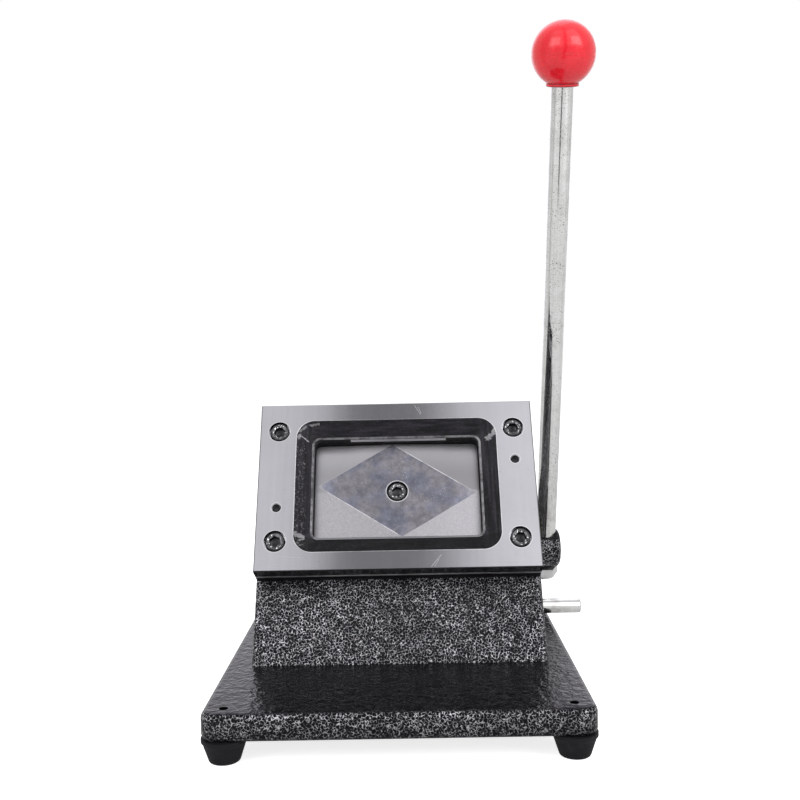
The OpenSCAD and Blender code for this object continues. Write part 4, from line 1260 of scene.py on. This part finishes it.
@dataclass
class Studio:
    """Camera, pale floor, soft lamps and the screens that steel mirrors.

    Turns are in degrees to the right of straight ahead of the face. Heights of the
    softboxes are those of a direction one metre long. Each pair of turns or heights is
    the range in which an edge rises or falls.
    """

    focal_px: float = 992.4
    image_px: float = 800.0
    sensor_mm: float = 36.0
    pitch: float = math.radians(2.801)
    yaw: float = math.radians(-0.445)
    roll: float = math.radians(-1.155)
    side: float = 6.38 * MM
    gap_in_front: float = 408.5 * MM
    height_over_base: float = 151.0 * MM
    box_turn: Pair = (60.0, 66.0)
    box_heights: tuple[Pair, Pair] = ((0.12, 0.22), (0.88, 0.94))
    box_change: Pair = (2.0, 14.0)
    box_levels: Pair = (1.27, 1.57)
    core_turns: tuple[Pair, Pair] = ((17.0, 24.0), (50.0, 60.0))
    core_heights: tuple[Pair, Pair] = ((0.2, 0.32), (0.6, 0.72))
    core_gain: float = 2.5
    around_level: float = 0.68
    behind_turn: Pair = (138.0, 152.0)
    behind_level: float = 1.25
    behind_tint: Shade = (0.99, 0.97, 1.05)
    gap_left: Pair = (-7.7, -6.9)
    gap_foot: Pair = (-12.0, -7.3)
    foot_share: float = 0.3
    gap_right: Pair = (0.3, 7.5)
    gap_level: float = 0.3
    beside_turn: float = 88.0
    beside_fall: Pair = (2.0, 9.0)
    beside_level: float = 0.72
    light_level: float = 0.45
    floor_reach: float = 6.0
    floor_white: float = 0.78
    floor_levels: Pair = (0.3, 0.62)
    floor_share: float = 0.42
    floor_gap: float = 0.12

    def build(self) -> None:
        """Sets up everything that isn't part of the object."""
        self.camera()
        self.floor()
        self.world()
        for lamp in (
            Lamp("softbox_left", (-0.85, -0.75, 0.75), (0.55, 0.9), 9.0),
            Lamp("softbox_right", (0.85, -0.7, 0.75), (0.55, 0.9), 9.5),
            Lamp("softbox_top", (0.0, 0.1, 1.35), (1.3, 1.3), 9.0),
        ):
            lamp.build()
        bpy.context.scene.view_settings.view_transform = "Standard"

    def camera(self) -> None:
        """Puts the camera where the photograph was taken from."""
        low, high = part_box("base_plate")
        data = bpy.data.cameras.new("camera")
        data.sensor_width = self.sensor_mm
        data.lens = self.focal_px / self.image_px * self.sensor_mm
        data.clip_start = 10.0 * MM
        cos_p, sin_p = math.cos(self.pitch), math.sin(self.pitch)
        cos_y, sin_y = math.cos(self.yaw), math.sin(self.yaw)
        ahead = Vector((sin_y * cos_p, cos_y * cos_p, -sin_p))
        right = Vector((cos_y, -sin_y, 0.0))
        above = right.cross(ahead)
        across = right * math.cos(self.roll) + above * math.sin(self.roll)
        upright = above * math.cos(self.roll) - right * math.sin(self.roll)
        matrix = Matrix((across, upright, -ahead)).transposed().to_4x4()
        matrix.translation = (self.side, low.y - self.gap_in_front, high.z + self.height_over_base)
        camera = put("camera", data)
        camera.matrix_world = matrix
        bpy.context.scene.camera = camera

    def floor(self) -> None:
        """Lays a pale floor that turns white for the camera and keeps a soft shadow.

        Mirrors see it at a plainer level, with a dark band under the camera.
        """
        data = bpy.data.meshes.new("floor")
        reach = self.floor_reach
        corners = [(x * reach, y * reach, 0.0) for x, y in ((-1, -1), (1, -1), (1, 1), (-1, 1))]
        data.from_pydata(corners, [], [(0, 1, 2, 3)])
        sheet = put("floor", data)

        r = Recipe("floor_white")
        front = self.gap(r) * r.parts(r.place)[1].fade(-0.5, -0.42)
        mirror = r.between(front, 1.0, self.floor_gap) * r.between(self.beside(r), 1.0, self.beside_level)
        dimmed = r.between(r.mirrored(), 1.0, mirror * self.floor_share)
        cloudy = r.blend(r.noise(0.5, detail=2.0), (0.79, 0.79, 0.79), (0.81, 0.81, 0.81))
        r.surface(r.scaled(cloudy, dimmed), 0.8, specular_ior_level=0.0)
        plain = r.away().span(0.5, 2.0, *self.floor_levels)
        level = r.between(r.mirrored(), self.floor_white, mirror * plain)
        r.feed(r.shader.inputs["Emission Color"], WHITE)
        r.feed(r.shader.inputs["Emission Strength"], r.seen() * level)
        dress(sheet, r.material)

    @staticmethod
    def turn(r: NodeWords) -> Signal:
        """Turn of the shaded direction or place, in degrees."""
        x, y, _ = r.parts(r.place)
        return r.maths("ARCTAN2", x, y * -1.0) * math.degrees(1.0)

    def gap(self, r: NodeWords) -> Signal:
        """Share of the dark gap between the two softboxes.

        Args:
            r: Words of a tree whose place is a direction or a point.

        Returns:
            The share.
        """
        turn = self.turn(r)
        left = turn.span(*self.gap_left).most(turn.span(*self.gap_foot, 0.0, self.foot_share))
        return left * turn.fade(*self.gap_right)

    def beside(self, r: NodeWords) -> Signal:
        """Share of the dark band beside the left softbox, straight out to the left."""
        return abs(self.turn(r) + self.beside_turn).fade(*self.beside_fall)

    def world(self) -> None:
        """Makes the world white to look at, a studio for mirrors and dimmer as a light."""
        world = bpy.data.worlds.new("studio")
        world.use_nodes = True
        r = NodeWords(world.node_tree, "Generated")
        turn = self.turn(r)
        height = r.parts(r.place)[2]
        inside = abs(turn).fade(*self.box_turn) * height.band(*self.box_heights)
        core = abs(turn).band(*self.core_turns) * height.band(*self.core_heights)
        boxes = turn.span(*self.box_change, *self.box_levels) * core.span(0.0, 1.0, 1.0, self.core_gain)
        behind = abs(turn).span(*self.behind_turn)
        studio = r.between(inside, r.between(behind, self.around_level, self.behind_level), boxes)
        studio = studio * r.between(self.gap(r), 1.0, self.gap_level)
        studio = studio * r.between(self.beside(r), 1.0, self.beside_level)
        level = r.between(r.seen(), self.light_level, r.between(r.mirrored(), 1.0, studio))
        tint = r.blend(behind * r.mirrored(), WHITE, self.behind_tint)
        light = r.take("ShaderNodeBackground", 0, {"Color": tint, "Strength": level})
        r.feed(r.tree.nodes.new("ShaderNodeOutputWorld").inputs["Surface"], light)
        bpy.context.scene.world = world


@dataclass
class CadPieces:
    """CAD nodes that keep their shape and get a better finish."""

    nodes: tuple[str, ...]
    material: Material
    sharp: float = 33.0

    def build(self) -> None:
        """Smooths and dresses each node."""
        for name in self.nodes:
            node = frame["nodes"][name]
            soften(node, self.sharp)
            dress(node, self.material)
            LOG.info("dressed %s", name)


@dataclass
class SocketScrew:
    """Sizes of a knurled cap screw with a hexagon socket."""

    shank: float = 6.0 * MM
    head: float = 10.0 * MM
    head_height: float = 6.0 * MM
    key: float = 5.0 * MM
    length: float = 24.0 * MM
    ridges: int = 28
    ridge_depth: float = 0.16 * MM
    edge_width: float = 0.95 * MM
    edge_round: float = 0.6 * MM
    tip_chamfer: float = 0.7 * MM

    def mesh(self) -> RingMesh:
        """Builds the screw with its head's top at Z = 0 and its tip below.

        Returns:
            The closed mesh, with the rim round its socket in the second finish.
        """
        r, h, shank = self.head / 2, self.head_height, self.shank / 2
        shape = RingMesh(self.ridges * 6)
        bottom = -h - self.length
        shape.pole(bottom)
        shape.rings(
            (bottom, shank - self.tip_chamfer),
            (bottom + self.tip_chamfer, shank - 0.02 * MM),
            (-h - 0.4 * MM, shank - 0.02 * MM),
            (-h, shank + 0.2 * MM),
            (-h, r - 0.5 * MM),
            (-h + 0.35 * MM, r - 0.1 * MM),
            (-h + 0.7 * MM, self.knurl),
            (-0.95 * MM, self.knurl),
            (-0.62 * MM, r - 0.12 * MM),
        )
        for angle in (math.radians(step) for step in (0.0, 22.5, 45.0, 67.5, 90.0)):
            drop = self.edge_round * (1 - math.sin(angle))
            shape.ring(-drop, r - self.edge_round * (1.2 - math.cos(angle)))
        shape.ring(-0.02 * MM, r - self.edge_width)
        shape.finish = 1
        shape.ring(-0.06 * MM, self.key / 2 / math.cos(math.pi / 6) + 0.42 * MM)
        shape.ring(-0.3 * MM, self.hexagon(0.1 * MM))
        shape.finish = 0
        floor = -0.55 * h
        shape.rings(
            (-0.55 * MM, self.hexagon(0.0)),
            (floor, self.hexagon(0.0)),
            (floor - 0.15 * MM, self.key / 2 * 0.8),
        )
        shape.pole(floor - 0.9 * MM)
        return shape

    def knurl(self, angle: float) -> float:
        """Radius of the ridged side of the head at an angle."""
        wave = 0.5 - 0.5 * math.cos(self.ridges * angle)
        return self.head / 2 - self.ridge_depth * wave**0.7

    def hexagon(self, wider: float) -> Callable[[float], float]:
        """Outline of the socket.

        Args:
            wider: How far the outline stands outside the key.

        Returns:
            The radius as a function of the angle.
        """

        def radius(angle: float) -> float:
            """Radius of the hexagon at an angle."""
            part = (angle + math.pi / 6) % (math.pi / 3) - math.pi / 6
            return (self.key / 2 + wider) / math.cos(part)

        return radius


@dataclass
class BaseStand:
    """Base plate on four rubber feet."""

    enamel: Material
    rubber: Material
    coat: Material

    def build(self) -> None:
        """Dresses the base, its feet and their screws."""
        CadPieces(("base_plate",), self.enamel).build()
        CadPieces(("foot_front_left", "foot_front_right"), self.rubber).build()
        CadPieces(("foot_rear_left", "foot_rear_right"), self.rubber).build()
        CadPieces(("foot_screws",), self.coat).build()


@dataclass
class CastBody:
    """Cast body with its bolts, bushes, stop pin and return spring."""

    face: DieFace
    enamel: Material
    oxide: Material
    bronze: Material
    plating: Material
    spring: Material
    wire: float = 3.5 * MM
    turns: float = 4.5
    coil_radius: float = 18.95 * MM
    spring_front: float = 67.1 * MM
    spring_rear: float = 96.2 * MM
    web_back: float = 66.8 * MM
    travel: float = 10.0 * MM

    def build(self) -> None:
        """Dresses the castings and winds the spring."""
        CadPieces(("body_casting",), self.enamel).build()
        CadPieces(("casting_bolts",), self.oxide).build()
        CadPieces(("shaft_bush_left", "shaft_bush_right", "guide_bush"), self.bronze).build()
        CadPieces(("stop_pin",), self.plating).build()
        self.coil()

    def coil(self) -> None:
        """Winds the return spring."""
        steps, sides, ground_end = 40, 12, 0.55
        rings = int(self.turns * steps)
        points: list[Point] = []
        rise = self.spring_rear - self.spring_front - self.wire
        centre = self.face.matrix(0.0, self.face.shaft_rise, 0.0)
        for i in range(rings + 1):
            angle = 2 * math.pi * i / steps
            depth = self.spring_front + self.wire / 2 + rise * i / rings
            thick = self.wire / 2 * (ground_end if i in (0, rings) else 1.0)
            for turn in (2 * math.pi * k / sides for k in range(sides)):
                radius = self.coil_radius + thick * math.cos(turn)
                local = (radius * math.cos(angle), radius * math.sin(angle), -depth + thick * math.sin(turn))
                points.append(tuple(centre @ Vector(local)))
        faces: list[tuple[int, ...]] = []
        for i in range(0, rings * sides, sides):
            for k in range(sides):
                a, b = i + k, i + (k + 1) % sides
                faces.append((a, b, b + sides, a + sides))
        faces.append(tuple(range(sides))[::-1])
        faces.append(tuple(rings * sides + k for k in range(sides)))
        piece = put_mesh("return_spring_wire", points, faces, sharp=50.0)
        dress(piece, self.spring)
        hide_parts("return_spring")
        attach(piece, Body.ROOT.value)
        room = self.spring_rear - self.web_back
        anchor = self.face.at(0.0, self.face.shaft_rise, self.web_back)
        (room - self.travel) / room
        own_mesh(piece)
        LOG.info("wound %s", piece.name)


@dataclass
class DieSet:
    """The die plates, their spacers, dowels and knurled screws."""

    face: DieFace
    die: Material
    plate: Material
    shim: Material
    oxide: Material
    rubbed: Material
    head_depth: float = 0.3 * MM
    screw_length: float = 26.0 * MM
    screw_turns: tuple[float, ...] = (8.0, 41.0, 19.0, 27.0)
    slot_half: float = 46.48 * MM
    slot_gap: float = 1.46 * MM
    strip_width: float = 1.6 * MM
    strip_round: float = 0.12 * MM

    def build(self) -> None:
        """Dresses the plates, sets the four screws and lays the strip."""
        CadPieces(("die_plate",), self.die, sharp=10.0).build()
        CadPieces(("guide_plate",), self.plate).build()
        CadPieces(("backing_shim", "slot_spacers"), self.shim).build()
        # painted shade: the dowel pins take the black oxide so that their holes read dark
        CadPieces(("dowel_pins",), self.oxide).build()
        screw = SocketScrew(length=self.screw_length).mesh()
        side, up = self.face.screws
        corners = ((-side, -up), (-side, up), (side, -up), (side, up))
        parts = []
        for corner, turn in zip(corners, self.screw_turns):
            place = self.face.matrix(*corner, self.head_depth)
            parts.append((screw, place @ Matrix.Rotation(math.radians(turn), 4, "Z")))
        piece = join_meshes("die_cap_screws", parts)
        dress(piece, self.oxide, self.rubbed)
        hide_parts("die_screws")
        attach(piece, Body.ROOT.value)
        LOG.info("set %s", piece.name)
        self.stop_strip()

    def stop_strip(self) -> None:
        """Lays the thin strip that closes the card slot at its lower end."""
        shape = bmesh.new()
        size = Matrix.Diagonal((2 * self.slot_half, self.strip_width, self.slot_gap, 1.0))
        bmesh.ops.create_cube(shape, size=1.0, matrix=size)
        bmesh.ops.bevel(shape, geom=shape.edges[:], offset=self.strip_round, segments=2, affect="EDGES")
        data = bpy.data.meshes.new("card_stop_strip")
        shape.to_mesh(data)
        shape.free()
        middle = self.strip_width / 2 - self.face.plate_half[1]
        data.transform(self.face.matrix(0.0, middle, self.face.die_thickness + self.slot_gap / 2))
        piece = put(data.name, data)
        soften(piece)
        dress(piece, self.shim)
        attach(piece, Body.ROOT.value)
        LOG.info("laid %s", piece.name)


@dataclass
class PunchRam:
    """Punch block, ram, fork and roller."""

    face: DieFace
    punch: Material
    machined: Material
    roller: Material
    dowel: Material
    oxide: Material
    rubbed: Material
    head_depth: float = 11.8 * MM
    screw_length: float = 25.7 * MM
    screw_turn: float = math.radians(12.0)

    def build(self) -> None:
        """Dresses the ram's nodes and sets the punch screw."""
        CadPieces(("punch",), self.punch, sharp=1.0).build()
        CadPieces(("ram", "ram_fork"), self.machined).build()
        CadPieces(("cam_roller",), self.roller).build()
        CadPieces(("ram_dowels", "roller_pin"), self.dowel).build()
        CadPieces(("ram_screws", "fork_screw"), self.oxide).build()
        screw = SocketScrew(length=self.screw_length).mesh()
        place = self.face.matrix(0.0, 0.0, self.head_depth) @ Matrix.Rotation(self.screw_turn, 4, "Z")
        piece = join_meshes("punch_cap_screw", [(screw, place)])
        dress(piece, self.oxide, self.rubbed)
        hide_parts("punch_screw")
        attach(piece, Body.RAM.value)
        LOG.info("set %s", piece.name)


@dataclass
class LeverGroup:
    """Shaft, cam, hub, rod and ball knob."""

    line: LeverLine
    machined: Material
    oxide: Material
    dowel: Material
    paint: Material
    plating: Material
    nut: Material
    washer: Material
    plastic: Material
    neck: Material
    ball_radius: float = 17.0 * MM
    ball_sides: int = 144
    ball_steps: int = 56
    rod_radius: float = 6.0 * MM
    rod_clear: float = 0.8 * MM
    neck_radius: float = 8.84 * MM
    neck_drop: float = 16.5 * MM
    ball_seat: float = 0.8 * MM
    seam_depth: float = 0.14 * MM
    seam_half: float = 0.35 * MM
    hub_slim: float = 0.745
    rim_slim: float = 0.87

    def build(self) -> None:
        """Dresses the lever's nodes and turns the ball knob."""
        CadPieces(("cam_shaft", "spiral_cam", "shaft_collar"), self.machined).build()
        CadPieces(("cam_pin", "collar_screw"), self.oxide).build()
        CadPieces(("hub_pin",), self.dowel).build()
        self.hub()
        CadPieces(("lever_rod",), self.plating).build()
        self.slimmer("rod_nut", "rod_end_nut", self.nut)
        self.slimmer("rod_washer", "rod_end_washer", self.washer)
        self.knob()

    def hub(self) -> None:
        """Casts the hub with a slimmer outer end than its CAD solid."""
        piece = put("lever_hub_casting", frame["nodes"]["lever_hub"].data.copy())
        middle = self.line.hinge.x
        for point in piece.data.vertices:
            if point.co.x > middle:
                point.co.x = middle + (point.co.x - middle) * self.hub_slim
        soften(piece)
        dress(piece, self.paint)
        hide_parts("lever_hub")
        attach(piece, Body.LEVER.value)
        LOG.info("cast %s", piece.name)

    def slimmer(self, node: str, name: str, material: Material) -> None:
        """Makes a ring on the rod whose rim is drawn in from its CAD solid's.

        Args:
            node: The CAD node it stands for.
            name: Name of the new piece.
            material: Its material.
        """
        piece = put(name, frame["nodes"][node].data.copy())
        for point in piece.data.vertices:
            off = point.co - self.line.hinge
            off -= self.line.along * off.dot(self.line.along)
            if off.length > self.rod_radius + self.rod_clear:
                point.co -= off * (1.0 - self.rim_slim)
        soften(piece)
        dress(piece, material)
        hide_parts(node)
        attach(piece, Body.LEVER.value)
        LOG.info("turned %s", piece.name)

    def seam(self, height: float) -> float:
        """Depth of the ball's moulding seam at a height over its middle."""
        return self.seam_depth * math.exp(-((height / self.seam_half) ** 2))

    def knob(self) -> None:
        """Turns the ball with its neck, rod socket and moulding seam."""
        r, rod, neck = self.ball_radius, self.rod_radius, self.neck_radius
        foot = -self.neck_drop
        ball = RingMesh(self.ball_sides)
        ball.pole(0.3 * MM)
        # the second finish is the darker red of painted shade, under the ball and in the socket
        ball.finish = 1
        ball.rings(
            (0.3 * MM, rod),
            (foot + 0.4 * MM, rod),
            (foot, rod + 0.3 * MM),
            (foot, neck - 0.5 * MM),
            (foot + 0.18 * MM, neck - 0.14 * MM),
            (foot + 0.6 * MM, neck),
        )
        ball.finish = 0
        ball.ring(foot + 1.25 * MM, neck - 0.05 * MM)
        start = -math.acos((neck - 0.2 * MM) / r)
        rise = (math.pi / 2 - start) / self.ball_steps
        for i in range(self.ball_steps):
            angle = start + rise * i
            ball.finish = 1 if i == 0 else 0
            height = r * math.sin(angle)
            ball.ring(height, (r - self.seam(height)) * math.cos(angle))
            if angle < 0.0 < angle + rise:
                ball.rings(*((lift, r - self.seam(lift)) for lift in (-0.3 * MM, 0.0, 0.3 * MM)))
        ball.pole(r)
        piece = join_meshes("red_ball", [(ball, self.line.matrix(self.line.length - self.ball_seat))])
        dress(piece, self.plastic, self.neck)
        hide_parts("ball_knob")
        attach(piece, Body.LEVER.value)
        LOG.info("turned %s", piece.name)


def main() -> None:
    """Builds the studio and every sub-assembly."""
    logging.basicConfig(level=logging.INFO, format="%(name)s: %(message)s")
    face, line = DieFace(), LeverLine()
    Studio().build()

    oxide = BlackOxide("black_oxide_steel").make()
    rubbed = ScrewRimWithGlints("screw_rim_painted_glints").make()
    dowel = TurnedSteel("ground_dowel_steel", steel=(0.5, 0.5, 0.51)).make()
    machined = TurnedSteel("machined_ram_steel").make()

    low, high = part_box("foot_rear_right")
    drilled = ((low.x + high.x) / 2, (low.y + high.y) / 2)
    # painted shade: the base's silver dims towards its foot and is left out of its drilled holes
    base_enamel = HammeredEnamel("base_hammertone_enamel", cover=0.75, unshaded_above=21.0 * MM, drilled=drilled)
    BaseStand(
        enamel=base_enamel.make(),
        rubber=MouldedRubber("foot_rubber_black").make(),
        # painted shade: the foot screws at the bottom of their holes are made near black
        coat=MouldedRubber("foot_screw_painted_shade", black=(0.005, 0.005, 0.006)).make(),
    ).build()
    CastBody(
        face=face,
        enamel=HammeredEnamel("black_hammertone_enamel", cover=1.08, vein_widths=(0.035, 0.105)).make(),
        oxide=oxide,
        bronze=SinteredBronze("oiled_bronze").make(),
        plating=PittedPlating("smooth_pin_plating", line, pit_share=0.1).make(),
        spring=TurnedSteel("oiled_spring_wire", steel=(0.25, 0.25, 0.26), roughs=(0.3, 0.4)).make(),
    ).build()
    DieSet(
        face=face,
        die=GroundDieSteel("ground_die_plate", face).make(),
        plate=GroundPlateSteel("ground_guide_plate", face).make(),
        # painted light: the shim and the stop strip get a near-white steel so that their thin edge under the
        # plate shows light
        shim=TurnedSteel("shim_strip_painted_light", steel=(0.9, 0.9, 0.9), roughs=(0.3, 0.45)).make(),
        oxide=oxide,
        rubbed=rubbed,
    ).build()
    PunchRam(
        face=face,
        punch=PunchFace("stained_punch_face", face).make(),
        machined=machined,
        roller=TurnedSteel("polished_roller", steel=(0.6, 0.6, 0.61), roughs=(0.12, 0.22)).make(),
        dowel=dowel,
        oxide=oxide,
        rubbed=rubbed,
    ).build()
    LeverGroup(
        line=line,
        machined=machined,
        oxide=oxide,
        dowel=dowel,
        paint=HammeredEnamel("hub_hammertone_enamel", cell=1.5 * MM, cover=0.95, plain_end=line).make(),
        plating=PittedPlating("pitted_bright_plating", line).make(),
        nut=TurnedSteel("pale_nut_plating", steel=(0.86, 0.86, 0.86), roughs=(0.3, 0.42)).make(),
        washer=BlackOxide("black_washer_steel", rubbed_share=0.3).make(),
        plastic=GlossPlastic("gloss_red_plastic").make(),
        # painted shade: a darker red for the neck's underside, the step under the ball and the rod socket
        neck=GlossPlastic("red_neck_painted_shade", colour=(0.3, 0.006, 0.014), deep=(0.24, 0.004, 0.01)).make(),
    ).build()


if __name__ == "__main__":
    main()
